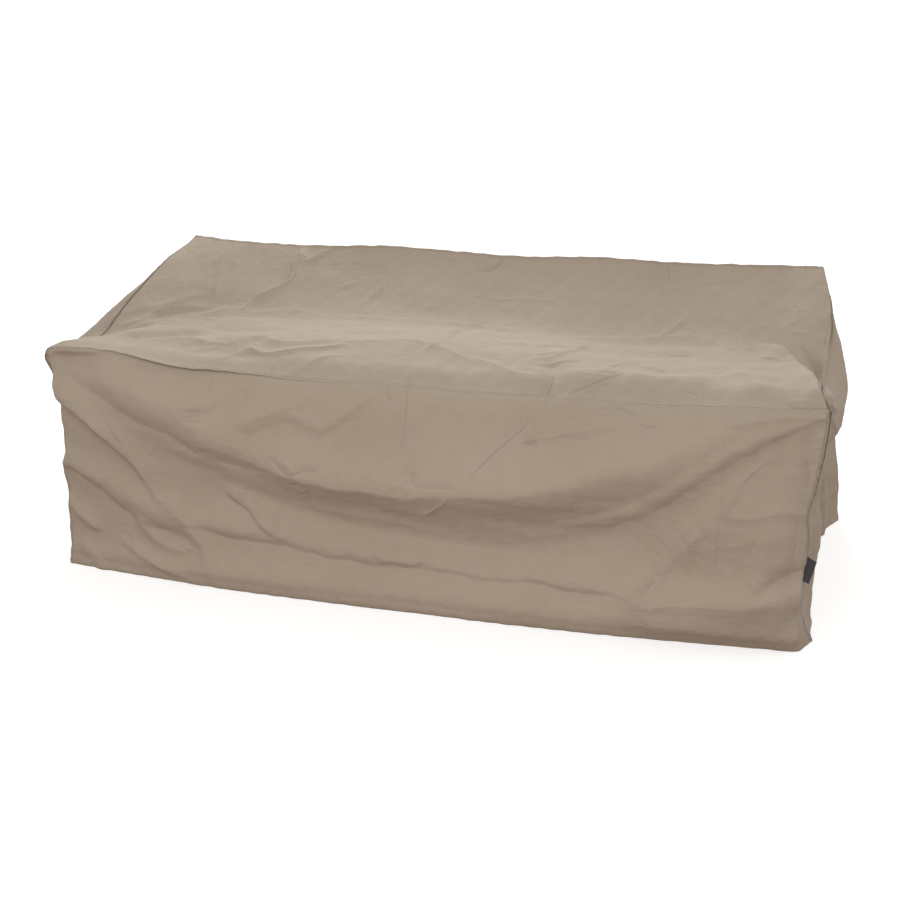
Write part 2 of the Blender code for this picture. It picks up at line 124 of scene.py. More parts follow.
class Paint:
    """A material or world and the nodes in it."""

    def __init__(self, owner, shader="Principled BSDF"):
        self.owner = owner
        owner.use_nodes = True
        self.tree = owner.node_tree
        self.shader = self.tree.nodes[shader]

    def plug(self, socket, value):
        if isinstance(value, Wire):
            self.tree.links.new(value.socket, socket)
        else:
            socket.default_value = value

    def node(self, kind, settings=(), sockets=(), out=0):
        made = self.tree.nodes.new(kind)
        for key, value in dict(settings).items():
            setattr(made, key, value)
        pairs = sockets.items() if isinstance(sockets, dict) else enumerate(sockets)
        for key, value in pairs:
            self.plug(made.inputs[key], value)
        return Wire(self, made.outputs[out])

    def place(self, kind="Object"):
        """Where a point of the object lies."""
        return self.node("ShaderNodeTexCoord", {}, out=kind)

    def cloth(self):
        """Where a point lies on the flat cloth, in metres."""
        return self.node("ShaderNodeUVMap", {"uv_map": "cloth"})

    def part(self, place, axis):
        return self.node("ShaderNodeSeparateXYZ", {}, [place], out=axis)

    def number(self, name):
        """A number that the mesh carries."""
        return self.node("ShaderNodeAttribute", {"attribute_name": name}, out="Fac")

    def noise(self, place, scale, detail, stretch=(1.0, 1.0, 1.0)):
        stretched = self.node("ShaderNodeMapping", {}, {"Vector": place, "Scale": stretch})
        return self.node("ShaderNodeTexNoise", {},
                         {"Vector": stretched, "Scale": scale, "Detail": detail}, out="Fac")

    def blend(self, mask, first, second):
        return self.node("ShaderNodeMix", {"data_type": "RGBA"}, {0: mask, 6: first, 7: second}, out=2)

    def bump(self, height, distance, strength, under=None):
        sockets = {"Height": height, "Distance": distance, "Strength": strength}
        if under is not None:
            sockets["Normal"] = under
        return self.node("ShaderNodeBump", {}, sockets)

    def finish(self, **sockets):
        for key, value in sockets.items():
            self.plug(self.shader.inputs[key.replace("_", " ")], value)
        return self.owner


print("paints are ready")

# %% [markdown]
# ## Light and floor
#
# The light is that of a soft studio. A pale dome is bright above and dim and warm below, so a fold
# reads by how far each of its sides turns up or down. One big panel stands behind and above the
# cover and brightens all that faces up, a weaker one in front fills the middle of the drop, and a
# small one lights the right end. The floor runs into the wall in one round sweep. It glows white,
# but it takes no part in the diffuse light, because a white floor's bounce would wash out the
# undersides of the folds.

# %% Lights
# name, place, aim, size in metres, power in watts
LIGHTS = [
    ("big panel behind", (-0.9, 4.3, 3.2), (0.0, 0.0, 0.5), 2.6, 176.0),
    ("low panel in front", (0.1, -4.2, 1.3), (0.0, 0.0, 0.4), 2.4, 76.0),
    ("small panel at the right", (4.4, 0.3, 1.9), (1.0, 0.1, 0.5), 1.4, 23.0),
]
DOME_ABOVE = (0.675, 0.654, 0.626, 1.0)
DOME_BELOW = (0.204, 0.132, 0.088, 1.0)
DOME_EDGE = (-0.10, 0.55)  # heights on the dome, from -1 to 1, between which it brightens


def add_light(name, place, aim, size, power):
    lamp = bpy.data.lights.new(name, "AREA")
    lamp.energy = power
    lamp.size = size
    made = bpy.data.objects.new(name, lamp)
    bpy.context.scene.collection.objects.link(made)
    made.location = place
    made.rotation_euler = (Vector(aim) - Vector(place)).to_track_quat("-Z", "Y").to_euler()


for row in LIGHTS:
    add_light(*row)
dome = Paint(bpy.data.worlds.new("pale dome"), "Background")
rise = dome.part(dome.place("Generated"), "Z")
bright = dome.node("ShaderNodeMapRange", {"interpolation_type": "SMOOTHSTEP"},
                   [rise, DOME_EDGE[0], DOME_EDGE[1], 0.0, 1.0])
dome.finish(Color=dome.blend(bright, DOME_BELOW, DOME_ABOVE), Strength=1.0)
bpy.context.scene.world = dome.owner
bpy.context.scene.view_settings.view_transform = "Standard"
print("lights:", len(LIGHTS), "and a dome")

# %% Floor
FLOOR_FLAT = 9.0           # the flat part of the round sweep
FLOOR_SIDES = 96
FLOOR_CLEAR = 0.0008       # how far it lies below the hems
SWEEP_ROUND = 5.0          # the radius of the curve from the floor to the wall
SWEEP_STEPS = 12
WALL_TOP = 16.0
FLOOR_TONE = (0.50, 0.50, 0.50, 1.0)
GLOW_BELOW = (0.66, 0.66, 0.66, 1.0)
GLOW_ABOVE = (1.0, 1.0, 1.0, 1.0)
GLOW_RISE = 3.0            # the height at which the sweep glows most


def floor_paint():
    paint = Paint(bpy.data.materials.new("pale floor"))
    place = paint.place()
    soft = paint.noise(place, 1.5, 2.0)
    glow = paint.blend((paint.part(place, "Z") / GLOW_RISE).clipped(), GLOW_BELOW, GLOW_ABOVE)
    return paint.finish(Base_Color=FLOOR_TONE, Roughness=0.85 + soft * 0.1,
                        Emission_Color=glow, Emission_Strength=1.0)


bpy.ops.object.select_all(action="DESELECT")
bpy.ops.mesh.primitive_circle_add(vertices=FLOOR_SIDES, radius=FLOOR_FLAT, fill_type="NGON",
                                  location=(0.0, 0.0, -FLOOR_CLEAR))
floor = bpy.context.active_object
floor.name = "floor"
bpy.ops.object.transform_apply(location=True, rotation=True, scale=True)
bpy.ops.object.mode_set(mode="EDIT")
bpy.ops.mesh.select_mode(type="EDGE")
bpy.ops.mesh.select_all(action="SELECT")
bpy.ops.mesh.region_to_loop()
radius = FLOOR_FLAT
turn = pi / 2 / SWEEP_STEPS
for step in range(1, SWEEP_STEPS + 1):
    angle = step * turn
    wider = FLOOR_FLAT + SWEEP_ROUND * sin(angle)
    climb = SWEEP_ROUND * (cos(angle - turn) - cos(angle))
    bpy.ops.mesh.extrude_edges_move(TRANSFORM_OT_translate={"value": (0.0, 0.0, climb)})
    bpy.ops.transform.resize(value=(wider / radius, wider / radius, 1.0), center_override=(0, 0, 0))
    radius = wider
bpy.ops.mesh.extrude_edges_move(TRANSFORM_OT_translate={"value": (0.0, 0.0, WALL_TOP - SWEEP_ROUND)})
bpy.ops.object.mode_set(mode="OBJECT")
bpy.ops.object.shade_smooth()
floor.data.materials.append(floor_paint())
floor.visible_diffuse = False
floor.visible_shadow = False
print("floor with", len(floor.data.polygons), "faces")

# %% [markdown]
# ## Canvas
#
# The cloth is a plain-woven polyester canvas with a matt coating. From a few steps away it is an
# even taupe with slightly paler and darker drifts. Near by, the weave shows, with thicker threads
# that run along it, and the coating has a fine crumple from having been folded in its bag. The
# seams are felled: each carries a row of stitches a finger's breadth from the seam line, and the
# hem has one too. The mesh carries the distance from the seam or hem and the way along it, so the
# stitches follow the cloth. It also carries how far a point lies from the nearest fine line: one
# that stands up is drawn as relief, and one that is pressed in mostly as a groove darkened with
# painted shade. Last, it carries the painted shade that darkens the seam lines and the hem.

# %% Canvas finish
CANVAS_MAIN = (0.368, 0.302, 0.236, 1.0)
CANVAS_PALE = (0.400, 0.333, 0.266, 1.0)
CANVAS_DARK = (0.335, 0.266, 0.203, 1.0)
# the thread of the stitches, and also the colour of the painted shade in pressed lines
THREAD_AND_SHADE_COLOUR = (0.190, 0.145, 0.106, 1.0)
# the colour of the painted shade along the seams and the hem
PAINTED_SHADE_COLOUR = (0.030, 0.021, 0.015, 1.0)
THREAD_PITCH = 0.0009      # metres from thread to thread of the weave
STITCH_PITCH = 0.0075      # metres from stitch to stitch
STITCH_SHARE = 0.62        # how much of the pitch the thread covers
SEAM_ROW = 0.0085          # from the seam line to its row of stitches
HEM_ROW = 0.019            # from the hem's edge to its row of stitches
ROW_WIDTH = 0.0026
HEM_FAINT = 0.4            # how strongly the hem's row shows, beside a seam's
LINE_FADE = 2.0            # line widths over which a fine line dies away
LINE_RELIEF = 1.10         # how strongly the fine lines stand out
GROOVE_RELIEF = 0.35       # how much of that a pressed line keeps
# the next two set the painted shade in a pressed line: how fast it darkens with depth, and how strongly
GROOVE_GAIN = -600.0       # how fast a pressed line darkens, for each metre of its depth
GROOVE_SHADE = 0.5
STITCH_SHADE = 0.85
# how strongly the painted shade darkens the seams and the hem
PAINTED_SHADE_STRENGTH = 0.94
HAIRS = [(7.0, 1.0), (17.0, 0.6)]        # cells to a metre and strength of the hairlines
HAIR_SHOVE = (0.12, 0.12, 0.12)
HAIR_THIN = 9.0            # how fast a hairline dies away beside the border of its cell
# how far each layer of relief stands out in metres, and its strength
HAIR_BUMP = (0.0030, 0.36)
MOTTLE_BUMP = (0.0050, 0.32)
WEAVE_BUMP = (0.00025, 0.35)
LINE_BUMP = (1.0, 1.0)
STITCH_BUMP = (0.0006, 0.8)


def weave(paint, place):
    """Plain weave: 1 on the crown of each thread, with warp and weft taking turns on top."""
    warp = (paint.part(place, "X") * (pi / THREAD_PITCH)).sine()
    weft = (paint.part(place, "Y") * (pi / THREAD_PITCH)).sine()
    top = (warp * weft) > 0.0
    return top * warp.size() + (1.0 - top) * weft.size()


def stitches(paint, off, run, row):
    """1 on each stitch of a row that runs at this distance from an edge."""
    across = paint.number(off).bell(row, ROW_WIDTH)
    dash = (paint.number(run) / STITCH_PITCH).fraction() < STITCH_SHARE
    return across * dash


def hairlines(paint, place, scale):
    """Fine folded lines: the borders of warped cells, broken up so that only some show."""
    shove = paint.node("ShaderNodeTexNoise", {}, {"Vector": place, "Scale": scale * 0.6}, out="Color")
    warped = paint.node("ShaderNodeVectorMath", {"operation": "MULTIPLY_ADD"},
                        {0: shove, 1: HAIR_SHOVE, 2: place})
    cells = paint.node("ShaderNodeTexVoronoi", {"feature": "DISTANCE_TO_EDGE"},
                       {"Vector": warped, "Scale": scale})
    shown = paint.noise(place, scale * 0.5, 3.0).above(0.48, 6.0)
    return (1.0 - (cells * HAIR_THIN).clipped()) * shown


def line_relief(paint):
    """The relief of the fine lines, and the painted shade that darkens the pressed ones."""
    near = 1.0 - (paint.number("line_off").size() / LINE_FADE).clipped()
    near = near * near
    high = paint.number("line_high")
    crest = high.clipped()
    lines = near * (crest + (high - crest) * GROOVE_RELIEF) * LINE_RELIEF
    return lines, (high * GROOVE_GAIN).clipped() * near * near * GROOVE_SHADE


def canvas_paint():
    paint = Paint(bpy.data.materials.new("coated canvas"))
    place = paint.place()
    cloth = paint.cloth()
    drift = paint.noise(place, 2.3, 4.0)
    mottle = paint.noise(place, 38.0, 5.0, (1.0, 1.0, 2.2))
    streaks = paint.noise(place, 30.0, 5.0, (0.55, 0.55, 1.8))
    slub = paint.noise(cloth, 260.0, 2.0, (0.05, 1.0, 1.0))
    hairs = sum(hairlines(paint, place, scale) * strength for scale, strength in HAIRS)
    sewing = (stitches(paint, "seam_off", "seam_run", SEAM_ROW)
              + stitches(paint, "hem_off", "hem_run", HEM_ROW) * HEM_FAINT).clipped()
    lines, painted_groove_shade = line_relief(paint)

    tone = paint.blend(drift.above(0.35, 2.4), CANVAS_DARK, CANVAS_PALE)
    tone = paint.blend(0.55, tone, CANVAS_MAIN)
    tone = paint.blend(mottle.above(0.42, 1.1), tone, CANVAS_PALE)
    tone = paint.blend(slub.above(0.50, 0.9), tone, CANVAS_DARK)
    # painted shade: the pressed lines are darkened where shade falls in them
    tone = paint.blend(painted_groove_shade, tone, THREAD_AND_SHADE_COLOUR)
    tone = paint.blend(sewing * STITCH_SHADE, tone, THREAD_AND_SHADE_COLOUR)
    # painted shade: the seams and the hem are darkened where shade falls in them
    tone = paint.blend(paint.number("gap") * PAINTED_SHADE_STRENGTH, tone, PAINTED_SHADE_COLOUR)

    relief = paint.bump(hairs, *HAIR_BUMP)
    relief = paint.bump(mottle * 0.6 + streaks, *MOTTLE_BUMP, relief)
    relief = paint.bump(weave(paint, cloth) + slub * 0.6, *WEAVE_BUMP, relief)
    relief = paint.bump(lines, *LINE_BUMP, relief)
    relief = paint.bump(sewing, *STITCH_BUMP, relief)
    return paint.finish(Base_Color=tone, Roughness=0.74 + mottle * 0.16, Normal=relief)


canvas = canvas_paint()
print("made", canvas.name)

# %% [markdown]
# The inside of the cloth has the smoother, paler side of the coating. It shows only from below and
# in the open mouth of the cover.

# %% Inner coating
COATING_COLOUR = (0.430, 0.385, 0.330, 1.0)


def coating_paint():
    paint = Paint(bpy.data.materials.new("inner coating"))
    place = paint.place()
    cloud = paint.noise(place, 14.0, 4.0)
    tone = paint.blend(cloud.above(0.4, 1.5), COATING_COLOUR, CANVAS_MAIN)
    fine = paint.bump(paint.noise(place, 160.0, 3.0), 0.0010, 0.25)
    return paint.finish(Base_Color=tone, Roughness=0.50 + cloud * 0.2, Normal=fine)


coating = coating_paint()
print("made", coating.name)

# %% [markdown]
# ## Lines, tables and folds
#
# A panel spans its four edge lines, as cloth spans its seams. A seam line is a short list of
# points that a smooth curve joins. The sag and the crown of the panel come from small tables, and
# its folds from rows that give a path, a height and how wide the fold is on either side. The
# tables are written as a maker would note them, in millimetres, with a bar between the columns,
# a semicolon between the rows and a comma between the points of a path.

# %% Reading tables
MM = 1000.0                # millimetres in a metre


def shares_of(words):
    return tuple(float(word) for word in words.split())


def lengths(words):
    """Lengths in metres: one number, or several as a tuple."""
    values = tuple(value / MM for value in shares_of(words))
    return values if len(values) > 1 else values[0]


def places(words):
    """Points in metres, from points with a comma between them."""
    return [lengths(point) for point in words.split(",")]


def slope_of(words):
    """The kind of a slope and its width."""
    kind, widths = words.split(maxsplit=1)
    return kind, lengths(widths)


def table_rows(words, *readers):
    """The rows of a table, with each column read in its own way."""
    rows = [[part.strip() for part in row.split("|")] for row in words.strip().split(";")]
    return [tuple(read(part) for read, part in zip(readers, row, strict=True)) for row in rows]


def fold_table(words):
    """Name, height, slope above and below, fine line, strength at both ends, path."""
    return table_rows(words, str, lengths, slope_of, slope_of, lengths, shares_of, places)


def line_table(words):
    """Name, height, strength at both ends, path."""
    return table_rows(words, str, lengths, shares_of, places)


def height_table(words):
    """Heights along a line, under its place in metres or its share of a side."""
    return dict(table_rows(words, float, lengths))


print("tables are in millimetres")

# %% [markdown]
# Between its points a line runs smoothly, and so does a surface between the entries of a table. A
# panel without its folds is the plainest surface that meets its four edge lines.

# %% Curves
def between(knots, at):
    """Which gap between the knots each place lies in, how wide it is, and the share of it."""
    i = np.clip(np.searchsorted(knots, at, side="right") - 1, 0, len(knots) - 2)
    step = knots[i + 1] - knots[i]
    return i, step, np.clip((at - knots[i]) / step, 0.0, 1.0)


def curve(values, slopes, step, u):
    """A smooth curve from the first value to the second, with the slopes given at both."""
    return (values[0] * (1 + 2 * u) * (1 - u) ** 2 + values[1] * (3 - 2 * u) * u ** 2
            + slopes[0] * step * u * (1 - u) ** 2 - slopes[1] * step * (1 - u) * u ** 2)


def along(knots, values, at):
    """A smooth line through the values at the knots, read at the given places."""
    knots = np.asarray(knots, float)
    values = np.asarray(values, float)
    slopes = np.gradient(values, knots, axis=0)
    i, step, u = between(knots, at)
    if values.ndim > 1:
        step = step[..., None]
        u = u[..., None]
    return curve((values[i], values[i + 1]), (slopes[i], slopes[i + 1]), step, u)


def profile(pairs, at):
    """A smooth line through pairs of a place and a value."""
    knots, values = zip(*pairs)
    return along(knots, values, at)


def line(points, share):
    """The points of a seam line at the given shares of its length."""
    points = np.asarray(points, float)
    length = np.concatenate([[0.0], np.cumsum(np.linalg.norm(np.diff(points, axis=0), axis=1))])
    return along(length / length[-1], points, share)


def table(rows, columns, row_at, column_at):
    """A value from a table, smooth both ways."""
    keys = np.array(sorted(rows))
    values = np.stack([along(columns, rows[key], column_at) for key in keys], axis=-1)
    slopes = np.gradient(values, keys, axis=-1)
    i, step, u = between(keys, row_at)

    def both(given):
        return [np.take_along_axis(given, (i + k)[..., None], -1)[..., 0] for k in (0, 1)]

    return curve(both(values), both(slopes), step, u)


def filled(low, high, left, right, s, t):
    """The surface that four edge values span (a Coons patch)."""
    corner = ((1 - s) * (1 - t) * low[0, 0] + s * (1 - t) * low[-1, 0]
              + (1 - s) * t * high[0, 0] + s * t * high[-1, 0])
    return (1 - t) * low + t * high + (1 - s) * left + s * right - corner


def spanned(low, high, left, right, along_shares, up_shares):
    """Shares s and t and the points of a sheet that spans four lines."""
    s, t = np.meshgrid(along_shares, up_shares, indexing="ij")
    sides = line(low, s), line(high, s), line(left, t), line(right, t)
    return s, t, filled(*sides, s[..., None], t[..., None])


print("curves are ready")

# %% [markdown]
# A fold is a path over the panel and a slope on either side of it. There are five slopes. A bell
# rises and falls smoothly, and a wave does so between two level parts. A hook comes to a sharp
# line on top and runs out softly, as cloth does where it is pulled over an edge. A brow is round
# on top and ends in a sharp line at its foot, as the underside of a sag does. A ledge starts with
# a sharp line, falls straight and runs out softly. A height or width may be one number, or
# several that are spread evenly along the path. The path wanders a millimetre or two, as stiff
# canvas never folds straight, and each fold's name sets where its wander starts.

# %% Folds
ROUTE_POINTS = 48          # points along a fold's path
FADE = 0.25                # share of a fold's length over which it rises and dies away
THIN_END = 0.45            # how narrow a fold is where it dies away, as a share of its width
FOLD_REACH = 2.4           # widths beyond which a fold does nothing
WANDER = 0.0016
WANDER_WAVES = [(0.6, 61.0, 0.0), (0.4, 143.0, 1.0)]
LEDGE_STRAIGHT = 0.7       # the share of a ledge's width down which it falls straight
SLOPES = {
    "bell": lambda u: np.exp(-u ** 2),
    "wave": lambda u: 1 - smooth(u),
    "hook": lambda u: np.clip(1 - u / 2, 0, 1) ** 2,
    "brow": lambda u: np.clip(1 - u ** 2, 0, 1),
    "ledge": lambda u: np.where(u < LEDGE_STRAIGHT, 1 - u, np.clip(2 - LEDGE_STRAIGHT - u, 0, 1) ** 2
                                / (4 * (1 - LEDGE_STRAIGHT))),
}


def smooth(u):
    u = np.clip(u, 0, 1)
    return u * u * (3 - 2 * u)


def ripple(way, waves):
    """A sum of waves along a way, each with its height, its pace and its start."""
    return sum(height * np.sin(way * pace + start) for height, pace, start in waves)


def spread(values, share):
    """One number, or several spread evenly along a path, at a share of its length."""
    values = np.atleast_1d(values)
    return np.interp(share, np.linspace(0, 1, len(values)), values)


def follow(path, reach, a, b):
    """Which places lie near a path, how far off it each is (left is positive), and how far along."""
    route = line([(*point, 0.0) for point in path], np.linspace(0, 1, ROUTE_POINTS))[:, :2]
    low = route.min(axis=0) - reach
    high = route.max(axis=0) + reach
    chosen = (a > low[0]) & (a < high[0]) & (b > low[1]) & (b < high[1])
    pa = a[chosen]
    pb = b[chosen]
    best = np.full(pa.shape, np.inf)
    side = np.zeros_like(pa)
    share = np.zeros_like(pa)
    for k, (first, last) in enumerate(zip(route[:-1], route[1:])):
        run = last - first
        u = np.clip(((pa - first[0]) * run[0] + (pb - first[1]) * run[1]) / (run @ run), 0, 1)
        da = pa - first[0] - u * run[0]
        db = pb - first[1] - u * run[1]
        near = np.hypot(da, db)
        closer = near < best
        best = np.where(closer, near, best)
        side = np.where(closer, run[0] * db - run[1] * da, side)
        share = np.where(closer, (k + u) / (ROUTE_POINTS - 1), share)
    length = np.linalg.norm(np.diff(route, axis=0), axis=1).sum()
    return chosen, np.where(side > 0, best, -best), share, share * length


def fading(share, ends):
    """1 in the middle of a path, falling to the given strengths at its ends."""
    return (ends[0] + (1 - ends[0]) * smooth(share / FADE)) * (
        ends[1] + (1 - ends[1]) * smooth((1 - share) / FADE))


def fold(row, a, b):
    """How far one fold lifts the cloth at the places a, b of a panel."""
    name, height, (above, above_width), (below, below_width), _, ends, path = row
    reach = FOLD_REACH * max(np.max(above_width), np.max(below_width))
    chosen, off, share, way = follow(path, reach, a, b)
    off = off + WANDER * ripple(way + len(name), WANDER_WAVES)
    strength = fading(share, ends)
    thin = THIN_END + (1 - THIN_END) * strength
    slope = np.where(off > 0, SLOPES[above](off / thin / spread(above_width, share)),
                     SLOPES[below](-off / thin / spread(below_width, share)))
    lift = np.zeros_like(a)
    lift[chosen] = spread(height, share) * strength * slope
    return lift


def folds(rows, a, b):
    return sum((fold(row, a, b) for row in rows), start=np.zeros_like(a))


print("slopes:", ", ".join(SLOPES))

# %% [markdown]
# Some creases are finer than the cells of the mesh: the lines along which the cover was packed, the
# sharp crests of pulls and the star where several of them cross. For these the mesh carries how
# far each point lies from the nearest such line, and how high the line is. Both run straight
# between the points, so the material can draw a line that is far crisper than the cells and use it
# as relief, and darken a pressed line with painted shade. Any fold above may have one along its crest.

# %% Fine lines
LINE_WIDE = 0.0045         # half the width of a fine line
LINE_NEAR = 0.03           # how far from a line its distance is worked out
LINE_REACH = 3.0           # widths at which a line is forgotten
LINE_WANDER = 0.0003
LINE_PACE = 97.0


def crests(rows):
    """The fine lines along the crests of folds."""
    return [(name, crease, ends, path) for name, _, _, _, crease, ends, path in rows if crease]


def fine_lines(rows, a, b):
    """For the nearest line: the distance from it in widths, and its height in metres."""
    off = np.full(a.shape, LINE_REACH)
    high = np.zeros_like(a)
    for name, height, ends, path in rows:
        chosen, gap, share, way = follow(path, LINE_NEAR, a, b)
        gap = (gap + ripple(way, [(LINE_WANDER, LINE_PACE, len(name))])) / LINE_WIDE
        beyond = (share <= 0) | (share >= 1)
        nearer = (np.abs(gap) < np.abs(off[chosen])) & ~(beyond & (np.abs(gap) > 1.0))
        off[chosen] = np.where(nearer, gap, off[chosen])
        high[chosen] = np.where(nearer, height * fading(share, ends), high[chosen])
    return off, high


print("fine lines are", LINE_WIDE, "m wide")

# %% [markdown]
# ## Where the panels meet
#
# These are the seam lines and hems of the solids: the cover is 2.10 m long, 0.94 m deep and 0.65 m
# tall in front, 0.82 m at the back. Neighbouring panels share a line, so they meet without a gap.

# %% Seam lines and hems
FRONT_HEM = places("""-1052 -472 0, -875 -496 0, -674 -512 2, -414 -522 0, -76 -522 0, 220 -522 0,
  522 -514 0, 800 -494 0, 960 -484 0, 1038 -474 0, 1065 -445 1, 1085 -410 2""")
FRONT_TOP = places("""-1052 -448 656, -1000 -468 667, -930 -474 671, -830 -474 667, -770 -474 657,
  -670 -472 638, -490 -464 630, -290 -450 622, 0 -444 623, 180 -442 617, 410 -442 620, 570 -442 616,
  830 -446 628, 960 -452 636, 1062 -455 645""")
BACK_TOP = places("""-1034 470 823, -910 471 815, -650 472 810, -500 470 813, -330 470 820,
  -150 472 813, 50 470 809, 250 468 809, 440 470 815, 570 470 811, 750 471 811, 935 470 816,
  1062 465 818""")
BACK_HEM = places("""-1196 430 0, -1000 475 4, -780 500 0, -550 492 3, -300 518 0, -50 505 2, 200 522 0,
  450 500 2, 700 512 0, 950 470 4, 1196 432 0""")
LEFT_HEM = places("""-1052 -472 0, -1075 -360 2, -1065 -200 0, -1085 -30 2, -1070 120 0, -1110 280 3,
  -1196 430 0""")
RIGHT_HEM = places("""1085 -410 2, 1072 -300 0, 1060 -120 2, 1070 60 0, 1103 220 3, 1150 340 1,
  1196 432 0""")
FRONT_LEFT = places("""-1052 -472 0, -1042 -470 66, -1036 -470 186, -1032 -470 240, -1040 -470 315,
  -1028 -470 352, -1026 -470 440, -1028 -468 550, -1046 -466 600, -1062 -460 634, -1052 -448 656""")
FRONT_RIGHT = places("""1085 -410 2, 1066 -440 45, 1047 -462 110, 1043 -468 200, 1043 -470 284,
  1036 -470 370, 1050 -468 451, 1060 -464 551, 1062 -455 645""")
LEFT_TOP = places("""-1052 -448 656, -1052 -405 658, -1056 -320 640, -1064 -190 612, -1068 -110 627,
  -1068 -60 650, -1064 30 689, -1055 130 730, -1045 280 780, -1034 470 823""")
RIGHT_TOP = places("""1062 -455 645, 1043 -400 668, 1046 -300 655, 1052 -180 628, 1062 -50 603,
  1072 30 612, 1084 110 645, 1090 245 716, 1078 360 770, 1062 465 818""")
BACK_LEFT = places("""-1196 430 0, -1178 440 150, -1130 455 350, -1085 465 580, -1050 470 750,
  -1034 470 823""")
BACK_RIGHT = places("""1196 432 0, 1181 435 145, 1163 440 237, 1148 445 310, 1118 455 420, 1090 465 600,
  1070 468 740, 1062 465 818""")
print("front seam", round(float(np.ptp(np.array(FRONT_TOP)[:, 0])), 3), "m long")

# %% [markdown]
# ## Sewing a panel
#
# Each panel starts as a flat grid. Its points are then laid where the cloth hangs, with rows close
# together along the seams so that the felled edge is real relief. A felled seam has one panel's
# edge folded under and laid over the other's, then stitched down: a strip about a centimetre wide
# that stands a little proud, pulled in along its stitches and puckered between them. Where the
# cloth was folded in its bag and handled, it keeps a slight crumple all over. That crumple depends
# on the place alone, so neighbouring panels still meet. Last, Solidify gives the sheet its
# thickness inwards, with the coating as the inner face.

# %% Shares of a side
COVER_LONG = 2.10
COVER_DEEP = 0.94
FRONT_TALL = 0.65
BACK_TALL = 0.82
NEAR_SEAM = (0.0, 0.002, 0.004, 0.007, 0.010, 0.013, 0.017)
LONG_CELLS = 340
TALL_CELLS = 136
PIN_BAND = 0.014           # folds die away over this distance from a seam


def shares(cells, length):
    """Shares of a side of a panel, close together near both of its ends."""
    near = np.array(NEAR_SEAM) / length
    middle = np.linspace(near[-1], 1 - near[-1], cells + 3 - 2 * len(near))[1:-1]
    return np.concatenate([near, middle, 1 - near[::-1]])


LONG = shares(LONG_CELLS, COVER_LONG)
TALL = shares(TALL_CELLS, FRONT_TALL)
DEEP = shares(TALL_CELLS, COVER_DEEP)


def eased(s, t, wide, tall, hem_free=True):
    """1 inside a panel of this size, falling to 0 at its seams."""
    bottom = np.inf if hem_free else t * tall
    inside = np.minimum(np.minimum(s, 1 - s) * wide, np.minimum(bottom, (1 - t) * tall))
    return smooth(inside / PIN_BAND)


print("cells:", LONG_CELLS, "by", TALL_CELLS)

# %% Crumple
# pitch and height in metres, and whether the waves have sharp crests
CRUMPLES = [(0.34, 0.0024, False), (0.13, 0.0020, False),
            (0.055, 0.0018, True), (0.027, 0.0007, True)]
WAVES = 6
DICE_SEED = 21
FLOOR_BAND = 0.05          # the hem keeps its height


def crumple(points):
    """A slight unevenness that depends on the place alone."""
    dice = np.random.default_rng(DICE_SEED)
    moved = np.zeros_like(points)
    for pitch, height, sharp in CRUMPLES:
        for _ in range(WAVES):
            way = dice.normal(size=3)
            push = dice.normal(size=3)
            turn = dice.uniform(0, 2 * pi)
            wave = points @ (way / np.linalg.norm(way)) * (2 * pi / pitch) + turn
            lift = 1 - 2 * np.abs(np.sin(wave / 2)) if sharp else np.sin(wave)
            moved += lift[..., None] * (push / np.linalg.norm(push)) * height / WAVES ** 0.5
    moved[..., 2] *= np.clip(points[..., 2] / FLOOR_BAND, 0, 1)
    return moved


print("crumple from", CRUMPLES[0][0], "to", CRUMPLES[-1][0], "m")

# %% Felled edges and hems
FELL_WIDE = 0.0115         # the strip that stands proud along a seam
FELL_PROUD = 0.0014
FELL_RISE = 0.0015         # over how far it rises at the seam, and falls at its other edge
FELL_FALL = 0.0020
STITCH_SINK = 0.0009
SINK_WIDE = 0.0022
PAINTED_SHADE_WIDE = 0.0060          # how far the painted shade at a seam spreads
PUCKER_PITCH = 0.021
PUCKER_HIGH = 0.0016
PUCKER_RISE = 0.005        # how far from a seam the puckers start, and how far they reach
PUCKER_FALL = 0.016
PUCKER_EVEN = 0.6          # the share of their height that doesn't swell
PUCKER_SWELL = [(0.4, 9.0, 2.0)]
PUCKER_WANDER = [(0.006, 31.0, 0.0), (0.004, 77.0, 1.0)]     # how uneven their spacing is
HEM_PROUD = 0.0010
HEM_LAP = 0.001            # how far the turned cloth reaches beyond its stitches
HEM_FALL = 0.003
HEM_PUCKER_PITCH = 0.026
HEM_PUCKER_HIGH = 0.0010
HEM_PUCKER_WIDE = 0.010
HEM_WANDER = [(0.007, 23.0, 0.0), (0.004, 61.0, 0.0)]


def runs(points):
    """The way over the cloth from each of a panel's four edges: left, right, bottom, top."""
    over = np.linalg.norm(np.diff(points, axis=0), axis=-1).cumsum(axis=0)
    up = np.linalg.norm(np.diff(points, axis=1), axis=-1).cumsum(axis=1)
    left = np.concatenate([np.zeros_like(over[:1]), over])
    bottom = np.concatenate([np.zeros_like(up[:, :1]), up], axis=1)
    return {"left": left, "right": left[-1:] - left, "bottom": bottom, "top": bottom[:, -1:] - bottom}


def normals(points):
    """The way each point of a sheet faces."""
    over = np.gradient(points, axis=0)
    up = np.gradient(points, axis=1)
    facing = np.cross(over, up)
    return facing / np.linalg.norm(facing, axis=-1, keepdims=True)


def stitch_sink(off, row):
    """How deep the cloth is drawn in along a row of stitches."""
    return STITCH_SINK * np.exp(-((off - row) / SINK_WIDE) ** 2)


def puckers(run, wander, pitch, height):
    """The gathers that a row of stitches draws up, with an uneven spacing."""
    return height * np.sin((run + ripple(run, wander)) * 2 * pi / pitch)


